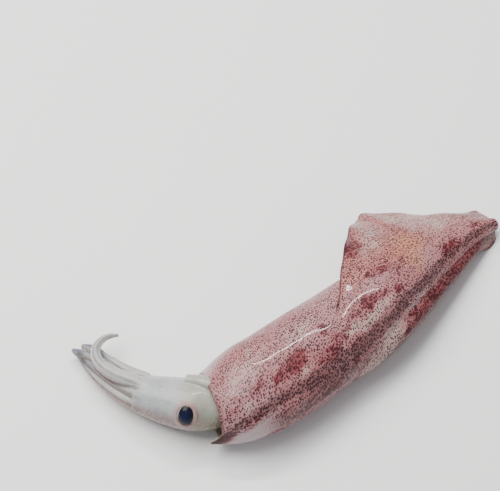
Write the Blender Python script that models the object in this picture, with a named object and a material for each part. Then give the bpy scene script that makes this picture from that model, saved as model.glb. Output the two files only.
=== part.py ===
"""Whole raw squid lying on its side: mantle with two fins, head, eyes, funnel, arms and tentacles.

The mantle lies along X with its tail towards +X.  Its front end and the head bend round towards +Y,
and the animal twists as it lies: the back faces up and to -Y at the fins, and down at the head.
Everything rests on z = 0.
"""
import math

import bmesh
import bpy
import numpy as np
from mathutils import Matrix, Vector

# Mantle: the long body tube, measured from the front rim (station 0) to the tail tip (station 1).
MANTLE_LENGTH = 0.180
TAIL_X = 0.1750
TAIL_Y = 0.0
MANTLE_HALF_WIDTH = [(0.0, 0.0178), (0.06, 0.0222), (0.15, 0.0244), (0.30, 0.0240), (0.46, 0.0218),
                     (0.60, 0.0178), (0.75, 0.0124), (0.88, 0.0077), (0.96, 0.0055), (1.0, 0.0036)]
MANTLE_HALF_HEIGHT = [(0.0, 0.0142), (0.06, 0.0166), (0.15, 0.0180), (0.30, 0.0180), (0.46, 0.0164),
                      (0.60, 0.0142), (0.75, 0.0105), (0.88, 0.0070), (0.96, 0.0052), (1.0, 0.0034)]
# Rounded tail tip: inset in shares of the end's half height, and reach behind the last station.
TAIL_TIP_PROFILE = [(0.22, 0.0020), (0.62, 0.0032)]
MANTLE_HEADING = [(0.0, 29.0), (0.08, 17.0), (0.20, 6.0), (0.36, 1.0), (0.60, -1.0), (0.84, -1.5), (1.0, 12.0)]
WALK_STEPS = 40
MANTLE_STATIONS = 31
MANTLE_COLUMNS = 36
# More stations near the front, where the outline turns fastest.
FRONT_CROWDING = 0.55
CROWDING_POWER = 0.6
MANTLE_WALL = 0.0030
RECESS_DEPTH = 0.0070
# Recess and rim: share of the recess depth, then inset and forward reach in shares of the wall.
RECESS_PROFILE = [(1.0, 1.15, 0.0), (0.45, 1.05, 0.0), (0.0, 1.0, 0.0), (0.0, 0.45, 0.25)]
WALL_BELOW_SHARE = 0.8
FLAT_BELLY = 0.07
RIM_FADE = 0.11
LIFT_START = 0.40
LIFT_FULL = 0.58
BELLY_LIFT = 0.0024

# Clear heights of each piece's lowest points, so that no two pieces are flat in one plane.
FLOOR_FIN = {1: 0.00010, -1: 0.00014}
FLOOR_HEAD = 0.00022
FLOOR_LIMB = 0.00030
FLOOR_LIMB_STEP = 0.00003

# Roll of the back: angle from straight up towards -Y, station by station.
BACK_ROLL = [(0.0, 104.0), (0.08, 80.0), (0.20, 58.0), (0.35, 44.0), (0.46, 34.0), (0.75, 28.0),
             (1.0, 24.0)]
RIM_POINT_LENGTH = 0.0060
RIM_POINT_HALF_ANGLE = 30.0
RIM_POINT_SHARPNESS = 1.3
RIM_FADE_POWER = 1.5
RIM_SCOOP_ANGLE = 60.0
RIM_SCOOP = 0.0012
RIM_SKEW = 0.0030

# Fins: two lobes that grow from beside the middle of the back.
FIN_START = 0.385
FIN_END = {1: 1.020, -1: 1.012}
FIN_WIDTH = 0.0420
FAR_FIN_OUTLINE = [(0.0, 0.07), (0.10, 0.22), (0.24, 0.54), (0.38, 0.84), (0.50, 1.10), (0.59, 1.235),
                   (0.65, 1.12), (0.72, 0.905), (0.79, 0.71), (0.86, 0.54), (0.934, 0.40),
                   (0.975, 0.30), (1.0, 0.10)]
NEAR_FIN_OUTLINE = [(0.0, 0.46), (0.05, 0.60), (0.12, 0.70), (0.25, 0.80), (0.42, 0.86), (0.56, 0.80),
                    (0.66, 0.67), (0.745, 0.52), (0.847, 0.35), (0.934, 0.22), (0.975, 0.16), (1.0, 0.08)]
NEAR_FIN_FORWARD = 0.0110
NEAR_FIN_FORWARD_FADE = 0.50
NEAR_FIN_FORWARD_WIDTH = 0.0210
NEAR_FIN_FLARE_START = 0.80
NEAR_FIN_FLARE_FULL = 0.96
FIN_STATIONS = 23
FIN_PATH_STEPS = 40
FIN_ROWS = 7
FIN_STATION_POWER = 1.15
FIN_ROOT_ANGLE = [(0.0, 31.0), (0.5, 36.0), (1.0, 50.0)]
FIN_ROOT_THICKNESS = 0.0026
FIN_EDGE_THICKNESS = 0.0010
FIN_EMBED = 0.0050
FIN_EMBED_SHARE = 0.5
# The embedded root points back along the lobe and down into the mantle, and is a little thinner.
FIN_EMBED_BACK = 0.7
FIN_EMBED_DOWN = 0.8
FIN_EMBED_THINNESS = 0.4
FIN_EDGE_POINT = 0.6
FIN_DROOP = [(0.0, 44.0), (0.45, 26.0), (0.8, 60.0), (1.0, 150.0)]
NEAR_FIN_GAP = [(0.0, -0.0010), (0.05, -0.0004), (0.15, 0.0014), (0.3, 0.0026), (0.6, 0.0018), (1.0, 0.0006)]
NEAR_FIN_FAIRING = 26.0
NEAR_FIN_STEP = 2.5
FIN_REST = 0.0008
REST_SEARCH_STEPS = 24

# Head: from the neck inside the rim to the crown that carries the arms.
NECK_INSIDE = 0.0110
HEAD_LENGTH = 0.0330
HEAD_HEADING = [(-0.011, 30.0), (0.0, 46.0), (0.008, 53.0), (0.020, 57.0), (0.039, 65.0)]
HEAD_HEIGHT = [(-0.011, 0.0150), (0.0, 0.0142), (0.012, 0.0134), (0.033, 0.0112)]
HEAD_SIDE_RADIUS = [(-0.011, 0.0080), (0.0, 0.0108), (0.009, 0.0132), (0.020, 0.0120), (0.033, 0.0098)]
HEAD_BACK_RADIUS = [(-0.011, 0.0080), (0.0, 0.0112), (0.009, 0.0124), (0.020, 0.0116), (0.033, 0.0096)]
HEAD_ROLL = 142.0
HEAD_STATIONS = 14
HEAD_COLUMNS = 26
CROWN_ROUNDING = 0.0060
BROW_HEIGHT = 0.0012
BROW_REACH = 0.0065

# Arms: crown angle from the back, length, base radius, headings at root, middle and tip, tip height.
ARMS = {
    "arm_right_1": (-22.0, 0.050, 0.0048, (70.0, 84.0, 96.0), 0.0026),
    "arm_right_2": (-67.0, 0.051, 0.0054, (68.0, 85.0, 100.0), 0.0042),
    "arm_right_3": (-108.0, 0.048, 0.0052, (70.0, 82.0, 88.0), 0.0070),
    "arm_right_4": (-152.0, 0.057, 0.0052, (60.0, 93.0, 225.0), 0.0105),
    "arm_left_1": (22.0, 0.047, 0.0046, (72.0, 82.0, 90.0), 0.0024),
    "arm_left_2": (67.0, 0.044, 0.0046, (73.0, 80.0, 88.0), 0.0026),
    "arm_left_3": (112.0, 0.042, 0.0047, (70.0, 80.0, 88.0), 0.0036),
    "arm_left_4": (158.0, 0.041, 0.0046, (66.0, 80.0, 86.0), 0.0075),
}
ARM_CURL_START = 0.55
ARM_TIP_RADIUS = 0.0009
ARM_STATIONS = 12
ARM_COLUMNS = 8
ARM_ROOT_INSIDE = 0.0060
ARM_TAPER_POWER = 0.85
ARM_REST_SHARE = 0.97
ARM_FALL_AT = 0.4
ARM_FALL_SHARE = 0.45
CROWN_SPREAD = 0.58

# Tentacles: the two long slim limbs, drawn in along the far side of the arms, each with a club.
TENTACLES = {
    "tentacle_right": (-130.0, 0.052, (70.0, 82.0, 78.0), 0.0044),
    "tentacle_left": (135.0, 0.048, (70.0, 80.0, 72.0), 0.0030),
}
TENTACLE_RADIUS = 0.0022
CLUB_RADIUS = 0.0030
TENTACLE_STATIONS = 16
# Thickness along a tentacle in shares of its radius, up to where the club starts to swell.
TENTACLE_STALK = [(0.0, 1.3), (0.3, 1.0), (0.66, 0.9)]
CLUB_MIDDLE = 0.84

# Eyes: one on each side of the head.
EYE_STATION = 0.0090
EYE_HALF_ACROSS = 0.0054
EYE_HALF_ALONG = 0.0046
EYE_HALF_DEPTH = 0.0040
EYE_PROUD = 0.0012
EYE_CLEARANCE = 0.0003
EYE_SEGMENTS = 14
EYE_RINGS = 8

# Funnel: the short tube under the head, squeezed out on its belly side.
FUNNEL_LENGTH = 0.0135
FUNNEL_RADIUS = 0.0046
FUNNEL_TIP_RADIUS = 0.0030
FUNNEL_RISE = 0.10
FUNNEL_FLATNESS = 0.72
FUNNEL_COLUMNS = 16
FUNNEL_INSIDE = 0.0060
# Share of the funnel's length and share of its own radius or, from the lip on, of the tip's radius.
FUNNEL_TUBE = [(0.0, 1.0), (0.45, 0.96), (0.80, 0.80)]
FUNNEL_LIP = [(1.0, 1.0), (1.03, 0.86), (1.0, 0.66), (0.78, 0.60)]

COLOUR_SKIN = (0.42, 0.24, 0.24, 1.0)
COLOUR_EYE = (0.02, 0.03, 0.07, 1.0)
ROUGHNESS_SKIN = 0.3
ROUGHNESS_EYE = 0.12


def smooth_table(knots, value):
    """Read a smooth curve through the knots; outside them it keeps the end values."""
    xs = np.array([k[0] for k in knots])
    ys = np.array([k[1] for k in knots])
    value = min(max(value, xs[0]), xs[-1])
    steps = np.diff(ys) / np.diff(xs)
    slopes = np.concatenate(([steps[0]], (steps[:-1] + steps[1:]) / 2.0, [steps[-1]]))
    turning = np.concatenate(([False], steps[:-1] * steps[1:] <= 0.0, [False]))
    slopes[turning] = 0.0
    i = min(int(np.searchsorted(xs, value, side="right")) - 1, len(xs) - 2)
    span = xs[i + 1] - xs[i]
    t = (value - xs[i]) / span
    return float((2 * t**3 - 3 * t**2 + 1) * ys[i] + (t**3 - 2 * t**2 + t) * span * slopes[i]
                 + (3 * t**2 - 2 * t**3) * ys[i + 1] + (t**3 - t**2) * span * slopes[i + 1])


def heading_vector(degrees):
    """Level direction that turns from -X towards +Y."""
    a = math.radians(degrees)
    return Vector((-math.cos(a), math.sin(a), 0.0))


def near_vector(degrees):
    """Level direction square to a heading, on the -Y side of the mantle and the -X side of the head."""
    a = math.radians(degrees)
    return Vector((-math.sin(a), -math.cos(a), 0.0))


def smooth_step(value):
    t = min(max(value, 0.0), 1.0)
    return t * t * (3.0 - 2.0 * t)


# ---------------------------------------------------------------- mantle

def mantle_centre(station):
    """Centre of the mantle's section, walked forward from the tail along the heading."""
    x, y = TAIL_X, TAIL_Y
    for i in range(WALK_STEPS):
        middle = 1.0 + (station - 1.0) * (i + 0.5) / WALK_STEPS
        forward = heading_vector(smooth_table(MANTLE_HEADING, middle))
        x += forward.x * MANTLE_LENGTH * (1.0 - station) / WALK_STEPS
        y += forward.y * MANTLE_LENGTH * (1.0 - station) / WALK_STEPS
    half_height = smooth_table(MANTLE_HALF_HEIGHT, station)
    resting = half_height * (1.0 - FLAT_BELLY)
    on_the_fin = half_height + BELLY_LIFT
    share = smooth_step((station - LIFT_START) / (LIFT_FULL - LIFT_START))
    return Vector((x, y, resting + (on_the_fin - resting) * share))


def mantle_section(station, degrees, outset=0.0):
    """Point of the mantle's oval section; the angle turns from straight up towards -Y."""
    a = math.radians(degrees)
    near = near_vector(smooth_table(MANTLE_HEADING, station))
    across = (smooth_table(MANTLE_HALF_WIDTH, station) + outset) * math.sin(a)
    up = (smooth_table(MANTLE_HALF_HEIGHT, station) + outset) * math.cos(a)
    return mantle_centre(station) + near * across + Vector((0.0, 0.0, up))


def rim_forward(degrees):
    """How far the rim reaches forward: a point over the back, scooped out elsewhere."""
    away = abs((degrees - smooth_table(BACK_ROLL, 0.0) + 180.0) % 360.0 - 180.0)
    point = max(0.0, 1.0 - away / RIM_POINT_HALF_ANGLE) ** RIM_POINT_SHARPNESS
    scoop = smooth_step((away - RIM_POINT_HALF_ANGLE) / RIM_SCOOP_ANGLE)
    skew = RIM_SKEW * math.sin(math.radians(degrees))
    return RIM_POINT_LENGTH * point - RIM_SCOOP * scoop - skew


def mantle_ring(station, inset=0.0, forward=0.0):
    """One closed ring of the mantle; the rim's outline fades out over the first tenth."""
    fade = max(0.0, 1.0 - station / RIM_FADE) ** RIM_FADE_POWER
    direction = heading_vector(smooth_table(MANTLE_HEADING, station))
    ring = []
    for k in range(MANTLE_COLUMNS):
        degrees = 360.0 * k / MANTLE_COLUMNS
        point = mantle_section(station, degrees, -inset)
        point += direction * (rim_forward(degrees) * fade + forward)
        point.z = max(point.z, inset * WALL_BELOW_SHARE)
        ring.append(point)
    return ring


def mantle_rings():
    """Rings from the floor of the shallow recess, over the rim and back to the tail."""
    depth = RECESS_DEPTH / MANTLE_LENGTH
    rings = []
    for deep, inset, forward in RECESS_PROFILE:
        rings.append(mantle_ring(depth * deep, MANTLE_WALL * inset, MANTLE_WALL * forward))
    for i in range(MANTLE_STATIONS):
        share = i / (MANTLE_STATIONS - 1)
        crowding = (FRONT_CROWDING + (1.0 - FRONT_CROWDING) * share) ** CROWDING_POWER
        rings.append(mantle_ring(share * crowding))
    end = MANTLE_HALF_HEIGHT[-1][1]
    for inset, reach in TAIL_TIP_PROFILE:
        rings.append(mantle_ring(1.0, end * inset, -reach))
    return rings


# ---------------------------------------------------------------- fins

def fin_share(station, side):
    """How far along a lobe a station is; side is 1 for the far lobe and -1 for the near one."""
    return (station - FIN_START) / (FIN_END[side] - FIN_START)


def fin_root_degrees(station, side):
    """Section angle where a lobe grows out."""
    share = fin_share(station, side)
    return smooth_table(BACK_ROLL, station) - side * smooth_table(FIN_ROOT_ANGLE, share)


def walk_along(points, distances):
    """Points at given distances along a polyline."""
    lengths = [0.0]
    for a, b in zip(points, points[1:]):
        lengths.append(lengths[-1] + (b - a).length)
    found = []
    for d in distances:
        i = 0
        while i < len(points) - 2 and lengths[i + 1] < d:
            i += 1
        share = (d - lengths[i]) / max(lengths[i + 1] - lengths[i], 1e-9)
        found.append(points[i].lerp(points[i + 1], min(max(share, 0.0), 1.0)))
    return found


def fin_arc(slope, droop, reach):
    """Angle above level of each short step along a drooping lobe."""
    turn = math.radians(droop) / FIN_WIDTH * reach / FIN_PATH_STEPS
    return [slope - turn * (i + 0.5) for i in range(FIN_PATH_STEPS)]


def resting_droop(height, slope, droop, reach):
    """The given droop, or less where the lobe's margin comes to rest on the board."""
    def margin(bend):
        return height + sum(math.sin(angle) for angle in fin_arc(slope, bend, reach)) * reach / FIN_PATH_STEPS

    if margin(droop) > FIN_REST:
        return droop
    low, high = -droop, droop
    for _ in range(REST_SEARCH_STEPS):
        middle = (low + high) / 2.0
        low, high = (middle, high) if margin(middle) > FIN_REST else (low, middle)
    return low


def open_fin_path(station, side, reach):
    """Middle of a spread lobe's thickness: it leaves the mantle level and droops like an arc."""
    share = fin_share(station, side)
    root = fin_root_degrees(station, side)
    a = math.radians(root)
    out = -near_vector(smooth_table(MANTLE_HEADING, station)) * side
    point = mantle_section(station, root, -FIN_ROOT_THICKNESS / 2.0)
    slope = math.atan2(side * smooth_table(MANTLE_HALF_HEIGHT, station) * math.sin(a),
                       smooth_table(MANTLE_HALF_WIDTH, station) * math.cos(a))
    droop = resting_droop(point.z, slope, smooth_table(FIN_DROOP, share), reach)
    step = reach / FIN_PATH_STEPS
    points = [point]
    for angle in fin_arc(slope, droop, reach):
        point = point + (out * math.cos(angle) + Vector((0.0, 0.0, math.sin(angle)))) * step
        points.append(Vector((point.x, point.y, max(point.z, FIN_REST))))
    return points


def tucked_fin_path(station):
    """Middle of the near lobe's thickness: down the near flank, then flat under the belly."""
    root = fin_root_degrees(station, -1)
    gap = smooth_table(NEAR_FIN_GAP, fin_share(station, -1))
    far = -near_vector(smooth_table(MANTLE_HEADING, station))
    points = []
    for i in range(FIN_PATH_STEPS * 2):
        turn = NEAR_FIN_STEP * i
        free = smooth_step(turn / NEAR_FIN_FAIRING)
        outset = -FIN_ROOT_THICKNESS / 2.0 + (FIN_ROOT_THICKNESS + gap) * free
        point = mantle_section(station, min(root + turn, 180.0), outset)
        past = math.radians(max(0.0, root + turn - 180.0))
        point += far * past * smooth_table(MANTLE_HALF_WIDTH, station)
        point.z = max(point.z, FIN_REST)
        points.append(point)
    return points


def fin_path(station, side, distances):
    """The lobe's middle line; the near lobe changes from tucked under to spread near the tail."""
    spread = walk_along(open_fin_path(station, side, distances[-1]), distances)
    if side > 0:
        return spread
    share = fin_share(station, side)
    flare = smooth_step((share - NEAR_FIN_FLARE_START) / (NEAR_FIN_FLARE_FULL - NEAR_FIN_FLARE_START))
    ahead = heading_vector(smooth_table(MANTLE_HEADING, station))
    forward = NEAR_FIN_FORWARD * max(0.0, 1.0 - share / NEAR_FIN_FORWARD_FADE)
    tucked = walk_along(tucked_fin_path(station), distances)
    path = []
    for distance, low, wide in zip(distances, tucked, spread):
        path.append(low.lerp(wide, flare) + ahead * forward * distance / NEAR_FIN_FORWARD_WIDTH)
    return path


def fin_ring(station, width, side):
    """Closed outline of one lobe's section: out along the top, round the edge, back along the bottom."""
    distances = [width * j / FIN_ROWS for j in range(FIN_ROWS + 1)]
    path = fin_path(station, side, distances)
    ahead = heading_vector(smooth_table(MANTLE_HEADING, station))
    embed = min(FIN_EMBED, FIN_EMBED_SHARE * smooth_table(MANTLE_HALF_WIDTH, station))
    upper, lower = [], []
    for j, point in enumerate(path):
        tangent = (path[min(j + 1, FIN_ROWS)] - path[max(j - 1, 0)]).normalized()
        normal = tangent.cross(ahead).normalized() * side
        if j == 0:
            inside = point - (tangent * FIN_EMBED_BACK + normal * FIN_EMBED_DOWN) * embed
            upper.append(inside + normal * FIN_ROOT_THICKNESS * FIN_EMBED_THINNESS)
            lower.append(inside - normal * FIN_ROOT_THICKNESS * FIN_EMBED_THINNESS)
        half = 0.5 * (FIN_ROOT_THICKNESS + (FIN_EDGE_THICKNESS - FIN_ROOT_THICKNESS) * j / FIN_ROWS)
        upper.append(point + normal * half)
        lower.append(point - normal * half)
    edge = path[-1] + (path[-1] - path[-2]).normalized() * FIN_EDGE_THICKNESS * FIN_EDGE_POINT
    ring = upper + [edge] + lower[::-1]
    for point in ring:
        point.z = max(point.z, FLOOR_FIN[side])
    return ring


def fin_rings(side):
    outline = FAR_FIN_OUTLINE if side > 0 else NEAR_FIN_OUTLINE
    rings = []
    for i in range(FIN_STATIONS):
        share = (i / (FIN_STATIONS - 1)) ** FIN_STATION_POWER
        station = FIN_START + (FIN_END[side] - FIN_START) * share
        rings.append(fin_ring(station, FIN_WIDTH * smooth_table(outline, share), side))
    return rings


# ---------------------------------------------------------------- head, funnel and eyes

def head_centre(reach):
    """Centre of the head's section at a distance in front of the rim, negative inside it."""
    start = mantle_centre(0.0)
    x, y = start.x, start.y
    for i in range(WALK_STEPS):
        forward = heading_vector(smooth_table(HEAD_HEADING, reach * (i + 0.5) / WALK_STEPS))
        x += forward.x * reach / WALK_STEPS
        y += forward.y * reach / WALK_STEPS
    return Vector((x, y, smooth_table(HEAD_HEIGHT, reach)))


def head_direction(reach, degrees):
    """Outward direction in the head's section; the angle turns from straight up to the near side."""
    a = math.radians(degrees)
    near = near_vector(smooth_table(HEAD_HEADING, reach))
    return near * math.sin(a) + Vector((0.0, 0.0, math.cos(a)))


def head_radius(reach, degrees):
    """Oval section, wider from eye to eye, with a low swelling round each eye."""
    a = math.radians(degrees - HEAD_ROLL)
    back = smooth_table(HEAD_BACK_RADIUS, reach)
    side = smooth_table(HEAD_SIDE_RADIUS, reach)
    radius = 1.0 / math.hypot(math.cos(a) / back, math.sin(a) / side)
    for eye_degrees in (HEAD_ROLL - 90.0, HEAD_ROLL + 90.0):
        around = math.radians((degrees - eye_degrees + 180.0) % 360.0 - 180.0) * side
        away = math.hypot(around, reach - EYE_STATION) / BROW_REACH
        radius += BROW_HEIGHT * math.exp(-away * away)
    return radius


def head_rings():
    rings = []
    total = NECK_INSIDE + HEAD_LENGTH + CROWN_ROUNDING
    for i in range(HEAD_STATIONS):
        reach = -NECK_INSIDE + total * i / HEAD_STATIONS
        over = max(0.0, (reach - HEAD_LENGTH) / CROWN_ROUNDING)
        scale = math.sqrt(1.0 - over * over)
        ring = []
        for k in range(HEAD_COLUMNS):
            degrees = 360.0 * k / HEAD_COLUMNS
            point = head_centre(reach) + head_direction(reach, degrees) * head_radius(reach, degrees) * scale
            point.z = max(point.z, FLOOR_HEAD)
            ring.append(point)
        rings.append(ring)
    return rings


def eye_matrix(side, grow):
    """Place and size of an eye's oval ball: side is 1 for the right eye and -1 for the left."""
    degrees = HEAD_ROLL - side * 90.0
    outward = head_direction(EYE_STATION, degrees)
    ahead = heading_vector(smooth_table(HEAD_HEADING, EYE_STATION))
    across = outward.cross(ahead)
    surface = head_centre(EYE_STATION) + outward * head_radius(EYE_STATION, degrees)
    centre = surface - outward * (EYE_HALF_DEPTH - EYE_PROUD)
    turn = Matrix((ahead, across, outward)).transposed().to_4x4()
    size = Matrix.Diagonal((EYE_HALF_ALONG + grow, EYE_HALF_ACROSS + grow, EYE_HALF_DEPTH + grow, 1.0))
    return Matrix.Translation(centre) @ turn @ size


def funnel_rings():
    """The funnel's outside, its round lip and a short way down its mouth."""
    belly = HEAD_ROLL + 180.0
    profile = [(-FUNNEL_INSIDE, FUNNEL_RADIUS)]
    profile += [(share * FUNNEL_LENGTH, wide * FUNNEL_RADIUS) for share, wide in FUNNEL_TUBE]
    profile += [(share * FUNNEL_LENGTH, wide * FUNNEL_TIP_RADIUS) for share, wide in FUNNEL_LIP]
    rings = []
    for reach, radius in profile:
        outward = head_direction(reach, belly)
        ahead = heading_vector(smooth_table(HEAD_HEADING, reach))
        across = outward.cross(ahead)
        centre = head_centre(reach) + outward * (head_radius(reach, belly) + FUNNEL_RADIUS * FUNNEL_RISE)
        ring = []
        for k in range(FUNNEL_COLUMNS):
            a = 2.0 * math.pi * k / FUNNEL_COLUMNS
            flat = outward * radius * FUNNEL_FLATNESS * math.sin(a)
            ring.append(centre + across * radius * math.cos(a) + flat)
        rings.append(ring)
    return rings


# ---------------------------------------------------------------- arms and tentacles

def limb_path(crown_degrees, length, headings, tip_height, stations):
    """Walk a limb's centre line out from the crown, turning evenly and then curling at its tip."""
    root_reach = HEAD_LENGTH - ARM_ROOT_INSIDE
    degrees = HEAD_ROLL + crown_degrees
    radius = head_radius(root_reach, degrees) * CROWN_SPREAD
    start = head_centre(root_reach) + head_direction(root_reach, degrees) * radius
    x, y = start.x, start.y
    points = []
    turns = [(0.0, headings[0]), (ARM_CURL_START, headings[1]), (1.0, headings[2])]
    partway = start.z + (tip_height - start.z) * ARM_FALL_SHARE
    heights = [(0.0, start.z), (ARM_FALL_AT, partway), (1.0, tip_height)]
    for i in range(stations):
        share = i / (stations - 1)
        points.append(Vector((x, y, smooth_table(heights, share))))
        forward = heading_vector(smooth_table(turns, share))
        x += forward.x * length / (stations - 1)
        y += forward.y * length / (stations - 1)
    return points


def tube_rings(points, radii, columns, floor):
    """Rings round a path, kept above the floor height."""
    rings = []
    for i, point in enumerate(points):
        ahead = (points[min(i + 1, len(points) - 1)] - points[max(i - 1, 0)]).normalized()
        side = ahead.cross(Vector((0.0, 0.0, 1.0))).normalized()
        up = side.cross(ahead)
        ring = []
        for k in range(columns):
            a = 2.0 * math.pi * k / columns
            spot = point + side * radii[i] * math.cos(a) + up * radii[i] * math.sin(a)
            spot.z = max(spot.z, floor)
            ring.append(spot)
        rings.append(ring)
    return rings


def arm_rings(floor, crown_degrees, length, radius, headings, tip_height):
    points = limb_path(crown_degrees, length, headings, tip_height, ARM_STATIONS)
    radii = []
    for i, point in enumerate(points):
        share = i / (ARM_STATIONS - 1)
        radii.append(ARM_TIP_RADIUS + (radius - ARM_TIP_RADIUS) * (1.0 - share) ** ARM_TAPER_POWER)
        point.z = max(point.z, radii[-1] * ARM_REST_SHARE)
    return tube_rings(points, radii, ARM_COLUMNS, floor)


def tentacle_rings(floor, crown_degrees, length, headings, tip_height):
    points = limb_path(crown_degrees, length, headings, tip_height, TENTACLE_STATIONS)
    thickness = [(share, TENTACLE_RADIUS * thick) for share, thick in TENTACLE_STALK]
    thickness += [(CLUB_MIDDLE, CLUB_RADIUS), (1.0, ARM_TIP_RADIUS)]
    radii = []
    for i, point in enumerate(points):
        radii.append(smooth_table(thickness, i / (len(points) - 1)))
        point.z = max(point.z, radii[-1] * ARM_REST_SHARE)
    return tube_rings(points, radii, ARM_COLUMNS, floor)


# ---------------------------------------------------------------- objects

def close_with_fan(bm, row):
    middle = bm.verts.new(sum((v.co for v in row), Vector()) / len(row))
    for k in range(len(row)):
        bm.faces.new((row[k], row[(k + 1) % len(row)], middle))


def close_flat_ring(bm, row):
    """Close a thin section by joining its upper side to its lower side, up to the edge point."""
    last = len(row) - 1
    for k in range(last // 2 - 1):
        bm.faces.new((row[k], row[k + 1], row[last - k - 1], row[last - k]))
    middle = last // 2
    bm.faces.new((row[middle - 1], row[middle], row[middle + 1]))


def loft_mesh(name, rings, shift, close_end=close_with_fan):
    """Closed mesh through rings of equal count."""
    bm = bmesh.new()
    rows = [[bm.verts.new(point + shift) for point in ring] for ring in rings]
    for lower, upper in zip(rows, rows[1:]):
        count = len(lower)
        for k in range(count):
            bm.faces.new((lower[k], lower[(k + 1) % count], upper[(k + 1) % count], upper[k]))
    close_end(bm, rows[0])
    close_end(bm, rows[-1])
    return finish_mesh(name, bm)


def ball_mesh(name, matrix, shift):
    bm = bmesh.new()
    bmesh.ops.create_uvsphere(bm, u_segments=EYE_SEGMENTS, v_segments=EYE_RINGS, radius=1.0,
                              matrix=Matrix.Translation(shift) @ matrix)
    return finish_mesh(name, bm)


def finish_mesh(name, bm):
    bmesh.ops.triangulate(bm, faces=bm.faces[:])
    bmesh.ops.recalc_face_normals(bm, faces=bm.faces[:])
    mesh = bpy.data.meshes.new(name)
    bm.to_mesh(mesh)
    bm.free()
    mesh.shade_smooth()
    return mesh


def add_object(name, mesh, material=None):
    piece = bpy.data.objects.new(name, mesh)
    bpy.context.scene.collection.objects.link(piece)
    if material:
        mesh.materials.append(material)
    return piece


def as_cutter(piece):
    piece.hide_render = True
    piece.display_type = "WIRE"
    return piece


def boolean(target, operation, cutter):
    modifier = target.modifiers.new(operation.lower() + "_" + cutter.name, "BOOLEAN")
    modifier.operation = operation
    modifier.solver = "EXACT"
    modifier.object = as_cutter(cutter)


def plain_material(name, colour, roughness):
    material = bpy.data.materials.new(name)
    material.use_nodes = True
    shader = material.node_tree.nodes["Principled BSDF"]
    shader.inputs["Base Color"].default_value = colour
    shader.inputs["Roughness"].default_value = roughness
    shader.inputs["Metallic"].default_value = 0.0
    return material


def clear_scene():
    for piece in list(bpy.data.objects):
        bpy.data.objects.remove(piece, do_unlink=True)


def centring_shift(all_rings):
    """Shift that puts the middle of the whole part's footprint on the origin."""
    points = [point for rings in all_rings for ring in rings for point in ring]
    xs = [point.x for point in points]
    ys = [point.y for point in points]
    return Vector((-(min(xs) + max(xs)) / 2.0, -(min(ys) + max(ys)) / 2.0, 0.0))


def main():
    clear_scene()
    flesh = {"fin_far": fin_rings(1), "fin_near": fin_rings(-1), "head": head_rings(),
             "funnel": funnel_rings()}
    floor = FLOOR_LIMB
    for limbs, make_rings in ((ARMS, arm_rings), (TENTACLES, tentacle_rings)):
        for name, numbers in limbs.items():
            flesh[name] = make_rings(floor, *numbers)
            floor += FLOOR_LIMB_STEP
    mantle = mantle_rings()
    shift = centring_shift([mantle] + list(flesh.values()))

    skin = plain_material("wet_skin", COLOUR_SKIN, ROUGHNESS_SKIN)
    eye_black = plain_material("eye_black", COLOUR_EYE, ROUGHNESS_EYE)
    squid = add_object("squid", loft_mesh("squid", mantle, shift), skin)
    for name, rings in flesh.items():
        close_end = close_flat_ring if name.startswith("fin") else close_with_fan
        boolean(squid, "UNION", add_object("flesh_" + name, loft_mesh(name, rings, shift, close_end)))
    for side, name in ((1, "eye_right"), (-1, "eye_left")):
        socket_ball = ball_mesh("socket_" + name, eye_matrix(side, EYE_CLEARANCE), shift)
        boolean(squid, "DIFFERENCE", add_object("socket_" + name, socket_ball))
        add_object(name, ball_mesh(name, eye_matrix(side, 0.0), shift), eye_black)


main()
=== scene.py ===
"""Whole raw squid: a detailed skin, head, arms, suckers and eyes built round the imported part.

The animal's form is worked out from the same named sizes as the part: the mantle lies along X with its
tail towards +X, its front and the head bend round towards +Y, and it twists as it lies.
"""
import math

import bmesh
import bpy
import numpy as np
from mathutils import Matrix, Vector, noise


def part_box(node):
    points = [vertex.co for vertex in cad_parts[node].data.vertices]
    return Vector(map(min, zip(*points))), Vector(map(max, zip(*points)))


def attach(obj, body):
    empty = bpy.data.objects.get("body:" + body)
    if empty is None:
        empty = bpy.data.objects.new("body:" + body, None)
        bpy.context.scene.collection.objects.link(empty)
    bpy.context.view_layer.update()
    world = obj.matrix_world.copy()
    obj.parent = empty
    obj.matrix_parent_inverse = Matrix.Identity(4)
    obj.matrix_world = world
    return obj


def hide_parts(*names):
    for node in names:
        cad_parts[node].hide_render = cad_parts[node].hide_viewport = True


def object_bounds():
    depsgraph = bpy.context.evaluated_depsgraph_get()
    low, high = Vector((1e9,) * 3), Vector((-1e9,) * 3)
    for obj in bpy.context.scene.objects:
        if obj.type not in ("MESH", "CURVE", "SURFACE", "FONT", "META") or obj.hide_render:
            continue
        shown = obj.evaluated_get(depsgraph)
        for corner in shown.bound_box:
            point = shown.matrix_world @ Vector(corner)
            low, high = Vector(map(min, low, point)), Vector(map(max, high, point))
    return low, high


bl_info = {
    "name": "Whole Raw Squid",
    "version": (1, 0, 0),
    "blender": (4, 5, 0),
    "location": "3D View > Sidebar > Squid",
    "description": "Builds the skin, fins, head, arms, suckers and eyes of a raw squid, and its stage",
    "category": "Object",
}

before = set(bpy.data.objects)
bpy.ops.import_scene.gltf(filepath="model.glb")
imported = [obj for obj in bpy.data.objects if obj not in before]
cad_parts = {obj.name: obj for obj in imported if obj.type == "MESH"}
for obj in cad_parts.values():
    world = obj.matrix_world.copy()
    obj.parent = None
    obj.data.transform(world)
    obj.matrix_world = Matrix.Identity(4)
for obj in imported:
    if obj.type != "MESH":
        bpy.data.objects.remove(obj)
CAD_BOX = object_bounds()
BODY = "root"

# ---------------------------------------------------------------- sizes of the animal, in metres

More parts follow.
